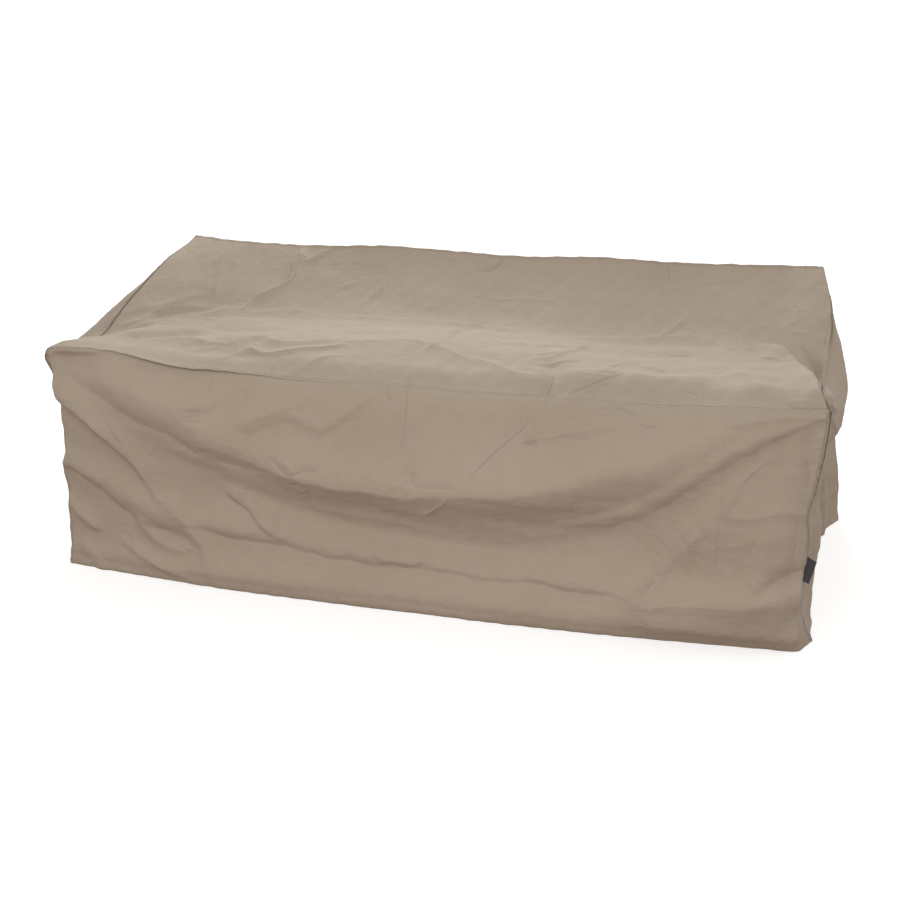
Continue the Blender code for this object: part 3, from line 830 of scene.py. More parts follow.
def edge_relief(off, run):
    """The relief of a felled and stitched strip at a distance from its seam."""
    strip = FELL_PROUD * smooth(off / FELL_RISE) * (1 - smooth((off - FELL_WIDE) / FELL_FALL))
    swell = PUCKER_EVEN + ripple(run, PUCKER_SWELL)
    reach = smooth(off / PUCKER_RISE) * np.exp(-(off / PUCKER_FALL) ** 2)
    gathers = puckers(run, PUCKER_WANDER, PUCKER_PITCH, PUCKER_HIGH * swell)
    return strip - stitch_sink(off, SEAM_ROW) + gathers * reach


def run_along(way, edge):
    """The way along an edge, from the left or the bottom."""
    return way["bottom"] if edge in ("left", "right") else way["left"]


def painted_seam_shade(way, painted_shades):
    """How dark the painted shade in the seams is. Each edge has depths that are spread along it."""
    dark = np.zeros_like(way["left"])
    for edge, depths in painted_shades.items():
        run = run_along(way, edge)
        depth = spread(depths, run / run.max())
        dark = np.maximum(dark, depth * (1 - smooth(way[edge] / PAINTED_SHADE_WIDE)))
    return dark


def hem_relief(off, run):
    """The relief of a hem turned up twice, with its row of stitches."""
    strip = HEM_PROUD * (1 - smooth((off - HEM_ROW - HEM_LAP) / HEM_FALL))
    reach = np.exp(-((off - HEM_ROW) / HEM_PUCKER_WIDE) ** 2)
    gathers = puckers(run, HEM_WANDER, HEM_PUCKER_PITCH, HEM_PUCKER_HIGH)
    return strip - stitch_sink(off, HEM_ROW) + gathers * reach


print("felled strip", FELL_WIDE, "m wide")

# %% Laying and sewing
CLOTH_THICK = 0.0012
SMOOTH_ANGLE = radians(62)
FAR_OFF = 1.0              # the distance given where there is no seam or hem


def lay_grid(name, points):
    """A flat grid with a cell for each step between the points, laid on them."""
    bpy.ops.object.select_all(action="DESELECT")
    columns = points.shape[0] - 1
    rows = points.shape[1] - 1
    bpy.ops.mesh.primitive_grid_add(x_subdivisions=columns, y_subdivisions=rows, size=1.0)
    piece = bpy.context.active_object
    piece.name = name
    piece.data.name = name
    flat = np.empty(len(piece.data.vertices) * 3)
    piece.data.vertices.foreach_get("co", flat)
    flat = flat.reshape(-1, 3)
    i = np.rint((flat[:, 0] + 0.5) * columns).astype(int)
    j = np.rint((flat[:, 1] + 0.5) * rows).astype(int)
    laid = points[i, j] + (0.0, FORWARD_SHIFT, 0.0)
    piece.data.vertices.foreach_set("co", laid.ravel())
    piece.data.update()
    return piece, i, j


def carry(piece, name, values):
    """Numbers for the material to read, one for each vertex."""
    piece.data.attributes.new(name, "FLOAT", "POINT").data.foreach_set("value", values.ravel())


def cloth_map(piece, u, v):
    """A map of the cloth in metres, one for each corner of each face."""
    corners = np.empty(len(piece.data.loops), dtype=np.int32)
    piece.data.loops.foreach_get("vertex_index", corners)
    piece.data.uv_layers[0].name = "cloth"
    piece.data.uv_layers[0].data.foreach_set("uv", np.stack([u, v], axis=-1)[corners].ravel())


def edit_whole(operation, **settings):
    """One edit of every face of the active piece."""
    bpy.ops.object.mode_set(mode="EDIT")
    bpy.ops.mesh.select_all(action="SELECT")
    operation(**settings)
    bpy.ops.object.mode_set(mode="OBJECT")


def face_outwards(piece, outward):
    """Turn the sheet over if it faces inwards."""
    facing = sum((face.normal * face.area for face in piece.data.polygons), start=Vector())
    if facing.dot(Vector(outward)) < 0:
        edit_whole(bpy.ops.mesh.flip_normals)


def thicken(piece, thick, offset):
    shell = piece.modifiers.new("thickness", "SOLIDIFY")
    shell.thickness = thick
    shell.offset = offset
    shell.material_offset = 1
    bpy.ops.object.modifier_apply(modifier=shell.name)
    bpy.ops.object.shade_smooth_by_angle(angle=SMOOTH_ANGLE)


def sew(name, points, outward, felled, painted_shades, lines=(), plane=(0, 2), hem="bottom"):
    """A panel of canvas: its crumple, its felled edges and hem, its numbers and its thickness."""
    line_off, line_high = fine_lines(lines, points[..., plane[0]], points[..., plane[1]])
    points = points + crumple(points)
    way = runs(points)
    seam_off = np.full(points.shape[:2], FAR_OFF)
    seam_run = np.zeros(points.shape[:2])
    for edge in felled:
        nearer = way[edge] < seam_off
        seam_off = np.where(nearer, way[edge], seam_off)
        seam_run = np.where(nearer, run_along(way, edge), seam_run)
    hem_off = way[hem] if hem else np.full(points.shape[:2], FAR_OFF)
    lift = edge_relief(seam_off, seam_run)
    if hem:
        lift = lift + hem_relief(hem_off, way["left"])
    facing = normals(points)
    facing *= np.sign((facing.mean(axis=(0, 1)) * outward).sum())
    piece, i, j = lay_grid(name, points + facing * lift[..., None])
    cloth_map(piece, way["left"][i, j] - way["left"][-1].mean() / 2, way["bottom"][i, j])
    # the number gap is the painted shade that darkens the seams and the hem
    carried = {"seam_off": seam_off, "seam_run": seam_run, "hem_off": hem_off, "hem_run": way["left"],
               "gap": painted_seam_shade(way, painted_shades), "line_off": line_off, "line_high": line_high}
    for number, values in carried.items():
        carry(piece, number, values[i, j])
    piece.data.materials.append(canvas)
    piece.data.materials.append(coating)
    face_outwards(piece, outward)
    thicken(piece, CLOTH_THICK, -1.0)
    area = sum(face.area for face in piece.data.polygons) / 2
    print(name, len(piece.data.polygons), "faces,", round(area, 3), "square metres")
    return piece


print("ready to sew")

# %% [markdown]
# ## Front panel
#
# The front drop is the face of the cover. Its cloth is longer than the sofa is tall in front, so
# the spare length sags in one big fold from corner to corner: a soft slope on the left, a sharp
# ledge with a deep shadow in the middle, and two bands on the right. Pulls run from the left edge
# down into the middle, a long crease climbs to the right, and a low fold lies just above the hem.
# Every fold is a row below, placed where the cloth shows it.

# %% Front folds
# how far the front stands out, by height, and what share of that it does, by x
FRONT_CROWN = places("0 0, 120 -16, 240 -22, 360 3, 460 22, 530 21, 580 14, 610 8, 650 0")
FRONT_SHARE = [(-1.05, 0.0), (-0.90, 0.5), (-0.65, 0.9), (-0.30, 1.0),
               (0.20, 1.0), (0.55, 0.9), (0.85, 0.6), (0.97, 0.3), (1.06, 0.0)]
# name | height | slope above | slope below | fine line | strength at both ends | path as x and z
FRONT_SWAG = fold_table("""
sag, left part | 8 17 24 26 18 6 | bell 80 | brow 55 66 74 74 70 60 | 0 | 0.5 0.1 |
  -1020 648, -940 632, -870 618, -810 590, -760 564, -700 543, -650 528, -600 503, -560 474, -500 455,
  -420 428, -340 400;
sag, middle part | 18 34 48 48 42 28 12 | bell 80 | ledge 50 62 75 95 105 100 | 0 | 0.1 0.1 |
  -560 445, -500 425, -400 396, -320 372, -220 356, -150 354, -80 357, -30 350, 30 346, 80 356, 150 360,
  240 374, 350 394, 450 420, 560 464;
sag, right part | 12 28 38 32 18 6 | bell 85 80 60 35 | wave 110 120 130 130 130 60 | 0 | 0.3 0.5 |
  100 355, 240 374, 350 394, 450 420, 560 464, 650 490, 730 532, 820 572, 940 628, 1040 645;
crisp edge in the right part | 6 | wave 30 | brow 24 | 0 | 0.1 0.4 |
  400 292, 450 300, 530 320, 620 358, 710 428, 770 476, 820 516, 900 566, 960 596, 1040 632;
hollow under the sag | -10 -16 -22 -22 -14 -8 | bell 45 | bell 85 | 0 | 0.6 0.6 |
  -950 510, -620 360, -300 240, 50 200, 350 210, 660 320, 980 560;
tuck towards the hem | 10 16 18 14 10 10 14 20 16 | bell 45 | wave 52 | 0 | 0.5 0.8 |
  -1040 52, -500 50, 0 50, 500 50, 1040 52;
hem rolled in | 4.5 | bell 14 | brow 13 | 0 | 0.8 0.8 | -1045 13, -500 13, 0 13, 500 13, 1060 13;
right lower belly | 2 12 26 30 26 | bell 110 | wave 270 | 0 | 1 0.2 |
  640 240, 760 300, 900 310, 1040 280;
low right tuck | 32 | bell 50 | wave 130 | 0 | 0.1 0.6 | 560 95, 660 115, 780 128, 900 140, 1040 160""")
FRONT_PULLS = fold_table("""
left sharp pull | 42 32 18 10 | bell 55 50 30 | hook 28 22 16 12 | 1.4 | 0.9 0.3 |
  -1030 545, -1010 530, -950 500, -900 460, -850 420, -810 380, -770 330, -740 280, -700 235;
its ridge going on | 8.4 | bell 30 | bell 22 | 1.4 | 0.5 0.2 |
  -740 260, -680 235, -650 190, -620 155, -590 110, -570 30;
left second pull | 26 22 26 22 | bell 45 | brow 26 40 60 48 | 0 | 0.8 0.2 |
  -1030 334, -970 326, -930 304, -870 276, -820 242, -760 222, -710 208, -670 186, -620 144;
its lower edge | 14 | bell 20 | hook 22 | 0 | 0.1 0.2 |
  -820 205, -770 150, -730 120, -680 102, -620 108;
left low wedge | 15 | bell 26 | hook 16 | 0 | 0.8 0.1 | -1030 205, -990 165, -950 135, -920 120;
left low ridge | 8 | bell 22 | bell 22 | 0 | 0.2 0.6 | -1000 90, -970 55, -950 35, -930 0;
low diagonal | 10 | bell 20 | hook 12 | 0 | 0.1 0.1 | -880 110, -810 80, -710 40, -620 15;
short slant fold | 15 | bell 32 | brow 24 | 0 | 0.1 0.4 | -530 300, -450 262, -395 212, -355 182;
hem fold, left | 19 | bell 46 | brow 30 38 40 30 | 0 | 0.3 0.5 |
  -640 196, -560 190, -450 190, -340 188, -290 180, -210 169, -150 166, -90 155, 30 148;
hem fold, right | 12 8 10 12 | bell 40 | brow 22 14 20 22 | 0 | 0.6 0.2 |
  -60 148, 30 146, 140 140, 250 134, 380 146, 440 138, 540 136, 620 122;
right long crease | 15 | hook 26 | hook 50 | 1 | 0.1 0.2 |
  590 70, 610 100, 670 170, 730 260, 780 320, 820 380, 850 430, 880 470, 910 500, 940 530;
right upper level fold | 4 | bell 22 | hook 12 | -0.8 | 0.1 0.8 | 820 370, 890 370, 980 388, 1030 374;
right lower level fold | 2 | bell 16 | hook 10 | -0.6 | 0.1 0.1 | 830 288, 880 296, 920 325;
right low fold | 8 | bell 34 | brow 28 | 0 | 0.1 0.8 | 900 175, 920 202, 960 240, 1010 262, 1045 270;
ridge under it | 3 | bell 14 | bell 20 | 0 | 0.1 0.7 | 880 135, 950 160, 1000 180, 1045 190;
right low lines | 2 | hook 12 | bell 16 | 0.7 | 0.1 0.1 | 600 95, 700 120, 820 130, 920 140;
right corner fold | 10 | bell 16 | hook 14 | 0 | 0.2 0.9 | 1028 280, 1034 160, 1040 70, 1046 0""")
FRONT_CREASES = fold_table("""
leaf, left side | -4 | bell 12 | hook 10 | -1 | 0.1 0.1 | -366 425, -340 400, -304 377;
leaf, right side | 4 | hook 10 | bell 12 | 1 | 0.1 0.1 | -315 418, -300 398, -286 380;
leaf, tail | -4 | bell 12 | hook 10 | -1.2 | 0.1 0.1 | -300 376, -268 392, -215 394;
under the ledge | 3 | bell 20 | hook 14 | 0 | 0.1 0.1 |
  -310 262, -200 262, -100 250, -30 248, 40 232, 140 222;
step under the left sag | 2.5 | wave 20 | wave 40 | 0 | 0.1 0.1 |
  -700 420, -620 404, -520 378, -420 350, -340 328;
middle leg, left | 3 | bell 14 | hook 10 | 0.8 | 0.1 0.4 | 8 440, -4 412, -22 385, -30 362;
middle leg, right | -4 | bell 14 | hook 10 | -1 | 0.1 0.1 | 18 443, 30 412, 47 384, 90 382, 160 388;
notch in the ledge | 4 | hook 10 | bell 14 | 0 | 0.1 0.1 | -30 375, 10 382, 50 368;
slanting strip | 5 | hook 8 | hook 8 | 1.6 | 0.2 0.3 | 50 282, 90 308, 120 336, 140 360;
beside the slanting line | 3 | bell 10 | bell 30 | 0 | 0.1 0.1 | 230 440, 290 500, 360 565;
star pit | -6 | bell 10 | bell 12 | -1.2 | 0.3 0.3 | 322 520, 340 510, 358 522;
star, long ray | 4 | bell 22 | hook 12 | 0.8 | 0.5 0.1 |
  331 518, 356 527, 393 534, 453 551, 536 566, 571 581;
streak left of the cloud | -8 | bell 20 | bell 18 | 0 | 0.1 0.1 |
  -620 510, -528 532, -463 565, -400 595;
cloud | 13 | bell 26 | wave 46 | 0 | 0.1 0.1 | -480 492, -420 520, -370 545, -310 568, -250 608;
cloud, second arm | 8 | bell 18 | wave 30 | 0 | 0.1 0.1 |
  -360 515, -310 530, -255 522, -215 512, -180 536, -150 558, -117 590, -80 600, -50 575;
dimple by the seam | -4 | bell 10 | bell 12 | 0 | 0.1 0.1 | -190 622, -188 592;
second dimple | -3 | bell 8 | bell 10 | -0.6 | 0.2 0.1 | -54 628, -44 600, -30 580;
near the right seam | -4 | bell 8 | bell 12 | -1 | 0.1 0.1 | 1018 530, 1026 480, 1028 435;
corner ray 1 | 4 | bell 12 | hook 10 | 0 | 0.1 0.9 | 780 590, 900 612, 1050 640;
corner ray 2 | 2.5 | bell 10 | hook 10 | 0 | 0.1 0.9 | 880 560, 960 588, 1050 628""")
# name | height | strength at both ends | path as x and z
FRONT_LINES = line_table("""
packed crease, middle | -1 | 0.6 0.1 | 4 625, 5 580, 4 530, 3 462;
packed crease, right | -0.5 | 0.3 0.3 | 812 625, 820 550, 822 400, 822 240, 830 90;
stitched edge, left row | 1.4 | 0.2 0.2 | 1018 372, 1019 320, 1021 262;
stitched edge, right row | 1.2 | 0.2 0.2 | 1029 350, 1030 300, 1032 246;
left pinch | -1.4 | 0.1 0.1 | -860 480, -845 465, -825 435, -805 405;
left level line | 0.9 | 0.5 0.1 | -1030 320, -970 312, -930 282, -870 252;
foot of the slant fold | -1 | 0.1 0.4 | -520 275, -450 240, -400 192, -370 168;
long crease, upper | -1.2 | 0.1 0.1 | 850 425, 880 465, 910 497, 945 532;
slanting line | -1.4 | 0.1 0.1 | 180 402, 220 448, 250 480, 275 505, 310 540, 352 580;
star, second ray | 1 | 0.5 0.1 | 331 516, 346 536, 367 567, 375 582;
star dashes | -0.8 | 0.1 0.1 | 425 540, 460 538, 500 536;
bar 1 | -1.2 | 0.2 0.2 | -610 530, -585 534, -555 533;
bar 2 | -0.9 | 0.2 0.2 | -600 506, -580 509, -552 508;
bar 3 | -0.8 | 0.2 0.2 | -320 522, -280 528, -235 525;
bar 4 | 0.7 | 0.2 0.2 | -340 540, -310 545, -280 543;
zigzag 1 | -1.4 | 0.3 0.3 | -345 356, -325 348, -305 344, -284 360, -262 346;
zigzag 2 | 1.4 | 0.3 0.3 | -335 322, -308 332, -280 324, -255 342;
zigzag 3 | -1 | 0.3 0.3 | -290 288, -267 270, -243 256;
zigzag 4 | 1 | 0.3 0.3 | -300 366, -270 374, -240 366;
dark line in the sag 1 | -1 | 0.2 0.2 | -90 322, -88 300, -82 285;
dark line in the sag 2 | -1.2 | 0.2 0.2 | -60 280, 0 288, 30 276;
dark line in the sag 3 | -0.8 | 0.2 0.2 | 80 292, 140 296, 220 286;
small light | 0.9 | 0.1 0.1 | 335 218, 360 226, 385 242;
small arc | 0.8 | 0.1 0.1 | 396 350, 425 366, 452 354;
small dark | -1 | 0.1 0.1 | 610 580, 630 574, 660 580;
seam corner | -1 | 0.1 0.1 | 500 605, 560 608, 610 590;
hem knot | -1.4 | 0.2 0.2 | -385 155, -365 150, -355 170;
second knot | -1.4 | 0.2 0.2 | -660 118, -640 104, -615 110""")
# how far the front hangs back under the edge of the seat, and over what drop it gets there, by x
EDGE_HANG = places("""-1060 10, -1000 36, -930 30, -870 18, -760 20, -680 22, -600 20, -520 14,
  -420 6, -300 0, 1060 0""")
HANG_START = places("-1060 40, -940 36, -870 16, -800 14, -450 14, -300 10, 1060 8")
HANG_END = 0.110
# how dark the painted shade at a seam or the hem is, spread along it
LEFT_CORNER_SHADE = (0.7, 0.7, 0.6, 0.1)
RIGHT_CORNER_SHADE = (0.5, 0.8, 1.0, 1.0)
FRONT_TOP_SHADE = (0.1, 0.3, 0.9, 1.0, 0.5, 0.1) + 8 * (0.0,)
HEM_SHADE = 0.35


def front_points():
    s, t, points = spanned(FRONT_HEM, FRONT_TOP, FRONT_LEFT, FRONT_RIGHT, LONG, TALL)
    x, _, z = np.moveaxis(points, -1, 0)
    crown = profile(FRONT_CROWN, z) * profile(FRONT_SHARE, x)
    sag = folds(FRONT_SWAG, x, z) + folds(FRONT_PULLS, x, z) + folds(FRONT_CREASES, x, z)
    points[..., 1] -= (crown + sag) * eased(s, t, COVER_LONG, FRONT_TALL)
    off = (1 - t) * FRONT_TALL
    points[..., 1] += (profile(EDGE_HANG, x) * smooth(off / profile(HANG_START, x))
                       * (1 - smooth(off / HANG_END)))
    return points


front = sew("front_canvas", front_points(), (0, -1, 0), ("left", "right"),
            {"left": LEFT_CORNER_SHADE, "right": RIGHT_CORNER_SHADE, "top": FRONT_TOP_SHADE, "bottom": HEM_SHADE},
            crests(FRONT_PULLS + FRONT_CREASES) + FRONT_LINES)

# %% [markdown]
# ## Seat and sloping back
#
# One long piece covers the arms, the seat cushions and the sloping backrest. A table gives its
# height over the sofa. The cushions push it up in two low humps with a gap between them, it sinks
# into the line where the seat meets the back, and both front corners stand up over the arms.

# %% Top folds
# heights by x, at these y
TOP_Y = (-0.47, -0.42, -0.36, -0.28, -0.20, -0.10, 0.00, 0.10, 0.20, 0.30, 0.40, 0.47)
TOP_ROWS = height_table("""
-1.06 | 655 660 650 632 613 632 676 716 751 785 808 822;
-0.90 | 668 664 658 650 643 638 640 664 705 747 790 815;
-0.70 | 641 648 653 656 655 650 648 662 694 736 782 811;
-0.40 | 618 636 652 662 664 662 658 662 684 724 774 817;
-0.05 | 610 633 652 668 676 674 665 662 678 714 764 811;
0.20 | 604 626 646 660 667 665 657 655 672 710 762 809;
0.48 | 606 630 652 663 663 656 649 648 668 708 762 814;
0.80 | 614 638 656 664 664 657 648 646 668 711 766 812;
0.92 | 622 646 660 663 660 652 640 646 676 720 772 815;
1.00 | 630 656 664 660 650 634 622 650 694 738 786 817;
1.07 | 638 664 668 655 636 612 604 640 690 738 785 818""")
# name | height | slope towards the back | slope towards the front | fine line |
# strength at both ends | path as x and y
TOP_FORMS = fold_table("""
left corner ridge | 4 10 14 15 13 10 | hook 30 | bell 80 | 0.8 | 0.6 0.2 |
  -1050 -410, -1000 -260, -930 -150, -860 -80, -720 -20, -520 30;
left slope foot | -12 | bell 55 | bell 36 | 0 | 0.6 0.1 |
  -1050 -160, -990 -30, -940 50, -870 100, -740 130;
left fan, first ridge | 8 12 10 6 | bell 30 | hook 16 | 1.2 | 0.4 0.1 |
  -1041 -171, -1017 -96, -979 -41, -969 17, -930 73, -854 110, -772 105;
left fan, second ridge | 8 | bell 30 | hook 20 | 0.7 | 0.4 0.1 |
  -1032 -15, -988 29, -946 79, -907 137, -866 167;
left fan, front ridge | 6 | bell 18 | hook 14 | 0.9 | 0.3 0.1 |
  -1057 -190, -1007 -162, -966 -92, -918 -33, -831 3, -752 -24;
left fan on the arm | 8 | bell 40 | wave 50 | 0 | 0.1 0.1 |
  -960 -262, -870 -197, -810 -166, -753 -152, -673 -189;
left hanging triangle | 10 | bell 30 | wave 30 80 120 140 | 0.6 | 0.1 0.3 |
  -850 -279, -776 -278, -707 -244, -640 -256;
edge of the triangle | 5 | hook 20 | bell 16 | 1.2 | 0.2 0.1 |
  -689 -424, -685 -361, -643 -327, -592 -307;
left bowl | -8 | bell 45 | bell 45 | 0 | 0.2 0.2 | -860 -400, -860 -280, -800 -200, -680 -170;
right corner ridge | 34 | bell 60 | hook 19 | 1.8 | 0.6 0.2 |
  1043 -400, 1030 -320, 1016 -216, 1000 -107, 978 -7, 941 54, 890 85, 820 85;
right pit | -24 | bell 30 | bell 26 | 0 | 0.3 0.3 | 1060 -260, 1062 -60, 1058 20, 1020 90;
gap between the cushions | -12 | bell 34 | bell 34 | 0 | 0.6 0.1 |
  370 -460, 380 -380, 360 -300, 330 -220;
right cushion crest | 13 | bell 40 | wave 80 | 0.8 | 0.2 0.1 |
  376 -329, 477 -322, 565 -314, 607 -333, 685 -334, 761 -309, 817 -268;
right hump | 8 | bell 50 | wave 70 | 0.8 | 0.1 0.2 | 790 -240, 836 -250, 886 -344, 933 -418;
left seat hollow | -9 | bell 60 | bell 50 | 0 | 0.2 0.2 | -800 -300, -600 -340, -400 -380;
left cushion crest | 5.6 | hook 20 | bell 50 | 1.3 | 0.2 0.3 |
  -280 -260, -210 -220, -110 -180, 0 -200, 100 -260, 190 -290, 270 -350, 350 -370;
slope foot, left | 3 | hook 20 | bell 34 | 0.9 | 0.1 0.1 |
  -860 50, -750 100, -640 90, -530 115, -420 85;
slope foot, middle | 2.4 | hook 18 | bell 34 | 1.1 | 0.2 0.2 |
  -550 65, -420 80, -280 90, -180 90, -20 100, 130 90, 260 100;
slope foot, right | 3 | hook 18 | bell 34 | 0.9 | 0.2 0.1 |
  240 75, 410 80, 490 100, 580 128, 690 148, 800 130""")
TOP_CREASES = fold_table("""
wedge behind the left ridge | 8 | hook 16 | bell 30 | 0 | 0.1 0.1 |
  -980 -100, -900 -55, -800 -30, -700 -35;
back crease 1 | 9 | hook 14 | bell 22 | 2.4 | 0.3 0.1 |
  -710 110, -690 150, -670 190, -640 230, -620 270, -620 320, -630 360, -620 390, -630 430, -620 460;
back crease 2 | 5 | hook 10 | bell 14 | 2 | 0.1 0.6 | -610 370, -580 390, -560 420, -540 460;
faint slope line | 2.2 | hook 10 | bell 12 | 0.7 | 0.1 0.4 |
  -800 80, -830 150, -850 240, -870 300, -890 380, -880 460;
slant on the slope | 5 | hook 10 | bell 18 | 1 | 0.1 0.1 | -440 270, -390 300, -360 340;
bright slope ridge | 4 | hook 10 | hook 8 | 1.6 | 0.2 0.3 | -320 150, -320 210, -300 280, -290 360;
hook on the slope | -4 | bell 10 | hook 8 | -1.2 | 0.4 0.1 | 50 460, 60 450, 50 420, -10 400;
right slope line | 5 | hook 10 | bell 16 | 1 | 0.1 0.1 | 600 130, 650 210, 680 270;
level slope line | 2 | hook 8 | bell 12 | 0.6 | 0.1 0.1 | 20 270, 150 285, 290 290;
seat crease a | 7.5 | hook 14 | bell 26 | 1.7 | 0.2 0.3 |
  -730 -235, -630 -275, -580 -275, -560 -245, -490 -222, -440 -250, -400 -258, -350 -232, -300 -200,
  -270 -155;
seat crease b | 8 | bell 22 | hook 16 | 1.8 | 0.2 0.3 |
  -560 -420, -520 -360, -500 -325, -430 -355, -390 -338, -350 -302, -310 -280, -260 -250, -250 -215,
  -170 -205;
seat wedge | 4 | bell 14 | hook 12 | 1.4 | 0.3 0.2 | -350 -450, -300 -400, -270 -350, -220 -325;
middle long crease | 4 | hook 8 | bell 14 | 1.2 | 0.1 0.2 |
  -10 -320, -10 -260, 10 -210, 20 -120, 20 10, 50 90, 50 170, 70 240;
notch | -1.5 | hook 8 | bell 9 | -2 | 0.1 0.5 | 371 -330, 373 -381, 368 -425;
wrinkle 1 | 2.5 | hook 10 | bell 16 | 1.3 | 0.1 0.1 | 120 -170, 190 -100, 290 -80, 370 -35;
wrinkle 2 | 3 | hook 10 | bell 18 | 1.5 | 0.1 0.1 | 240 -205, 310 -190, 350 -165, 390 -70, 430 10;
wrinkle 3 | 2.5 | hook 9 | bell 14 | 1.3 | 0.1 0.1 | 250 -255, 290 -240, 340 -210, 380 -120, 400 -70;
wrinkle 4 | 3 | hook 9 | bell 12 | 1.3 | 0.1 0.1 | 310 -275, 370 -240, 430 -205;
right crest line | 3.6 | bell 14 | hook 14 | 1.4 | 0.2 0.2 | 880 -15, 940 -50, 980 -85;
right seat 1 | 4 | hook 12 | bell 22 | 1.2 | 0.1 0.1 |
  465 -370, 490 -310, 520 -200, 560 -160, 610 -220, 650 -240, 700 -205;
right seat dark | -2 | bell 10 | bell 10 | -1.2 | 0.1 0.1 | 710 -385, 770 -410, 820 -412;
corner ray | 4 | bell 10 | hook 10 | 1.1 | 0.1 0.6 | 950 -415, 1040 -452;
slope edge crease | -4 | bell 8 | bell 10 | -1.2 | 0.3 0.2 | 1085 250, 1080 190, 1070 110;
right valley tick | -3 | bell 8 | bell 8 | -0.9 | 0.1 0.1 | 630 -50, 710 -50""")
# name | height | strength at both ends | path as x and y
TOP_LINES = line_table("""
dash | 0.9 | 0.1 0.1 | -20 290, 20 285, 60 290;
packed crease across | -0.9 | 0.3 0.2 | -610 360, -490 380, -370 390, -290 380;
packed crease, right | -0.8 | 0.4 0.3 | 600 465, 605 420, 610 380;
packed tick 1 | -0.8 | 0.2 0.2 | 610 360, 625 364, 640 370;
packed tick 2 | -0.8 | 0.2 0.2 | 660 380, 710 390, 800 400;
packed tick 3 | -0.8 | 0.2 0.2 | 730 450, 745 450, 760 450;
slope foot 3 | 0.8 | 0.1 0.1 | 130 90, 190 108, 260 100;
middle short crease | -0.8 | 0.3 0.6 | 0 -400, 0 -420, 0 -445;
crest, right cushion | 1.2 | 0.4 0.2 | 370 -335, 400 -340, 440 -340, 490 -350, 520 -340;
hump shadow line | -1.8 | 0.3 0.2 | 409 -433, 458 -398, 494 -373, 529 -344, 565 -314;
wrinkle 4 | 1.1 | 0.1 0.1 | 290 -240, 295 -265, 300 -290;
right seat 3 | 0.9 | 0.1 0.1 | 560 -300, 565 -325, 570 -350;
line over the right seam | 1 | 0.2 0.2 | 560 -428, 655 -420, 748 -406, 823 -415;
slope edge cross | -1 | 0.2 0.3 | 1060 220, 1070 190, 1086 170""")


def top_points():
    s, t, points = spanned(FRONT_TOP, BACK_TOP, LEFT_TOP, RIGHT_TOP, LONG, DEEP)
    x, y, _ = np.moveaxis(points, -1, 0)
    height = table(TOP_ROWS, TOP_Y, x, y)
    off = points[..., 2] - height
    edges = filled(off[:, :1], off[:, -1:], off[:1, :], off[-1:, :], s, t)
    lift = folds(TOP_FORMS, x, y) + folds(TOP_CREASES, x, y)
    points[..., 2] = height + edges + lift * eased(s, t, COVER_LONG, COVER_DEEP, False)
    return points


# how dark the painted shade at the seams of the top's ends is, spread along them
LEFT_TOP_SHADE = (0.8, 0.9, 0.9, 0.8, 0.6)
RIGHT_TOP_SHADE = (0.9, 1.0, 1.0, 0.9, 0.2, 0.0, 0.8, 0.6, 0.0, 0.0)
top = sew("top_canvas", top_points(), (0, 0, 1), ("bottom", "top"),
          {"left": LEFT_TOP_SHADE, "right": RIGHT_TOP_SHADE},
          crests(TOP_FORMS + TOP_CREASES) + TOP_LINES, plane=(0, 1), hem=None)

# %% [markdown]
# ## Back and ends
#
# The back drop hangs in shallow flutes between two flared corners. The ends are pushed out by the
# arms and hang free below them, and their rear corners stand away from the sofa in a flap.

# %% Back panel
# the paths are x and z
BACK_FOLDS = fold_table("""
left flute | 18 | bell 60 | hook 50 | 0 | 0.9 0.1 | -800 0, -760 300, -660 620;
left swag | 14 | bell 70 | brow 50 | 0 | 0.1 0.1 | -1000 700, -600 480, -200 420, 200 500;
middle flute | 16 | hook 50 | bell 55 | 0 | 0.9 0.1 | -280 0, -250 220, -180 400;
right flute | 18 | bell 60 | hook 50 | 0 | 0.9 0.1 | 220 0, 260 300, 400 600;
right swag | 14 | bell 70 | brow 45 | 0 | 0.1 0.1 | 200 440, 550 400, 850 540, 1020 720;
far right flute | 16 | hook 45 | bell 50 | 0 | 0.9 0.1 | 720 0, 740 200, 820 380;
left pull | 8 | bell 26 | hook 20 | 0 | 0.6 0.1 | -1030 780, -900 660, -740 580, -550 560;
right pull | 8 | bell 26 | hook 20 | 0 | 0.1 0.6 | 500 600, 720 620, 900 680, 1050 780;
packed crease | -2 | hook 7 | bell 7 | 0 | 0.5 0.5 | 0 800, 5 550, 0 300, -5 50""")


def back_points():
    s, t, points = spanned(BACK_HEM, BACK_TOP, BACK_LEFT, BACK_RIGHT, LONG[::2], TALL[::2])
    x, _, z = np.moveaxis(points, -1, 0)
    points[..., 1] += folds(BACK_FOLDS, x, z) * eased(s, t, COVER_LONG, BACK_TALL)
    return points


# how dark the painted shade along the rear corner seams is
REAR_SHADE = 0.5
back = sew("back_canvas", back_points(), (0, 1, 0), ("left", "right"),
           {"left": REAR_SHADE, "right": REAR_SHADE})

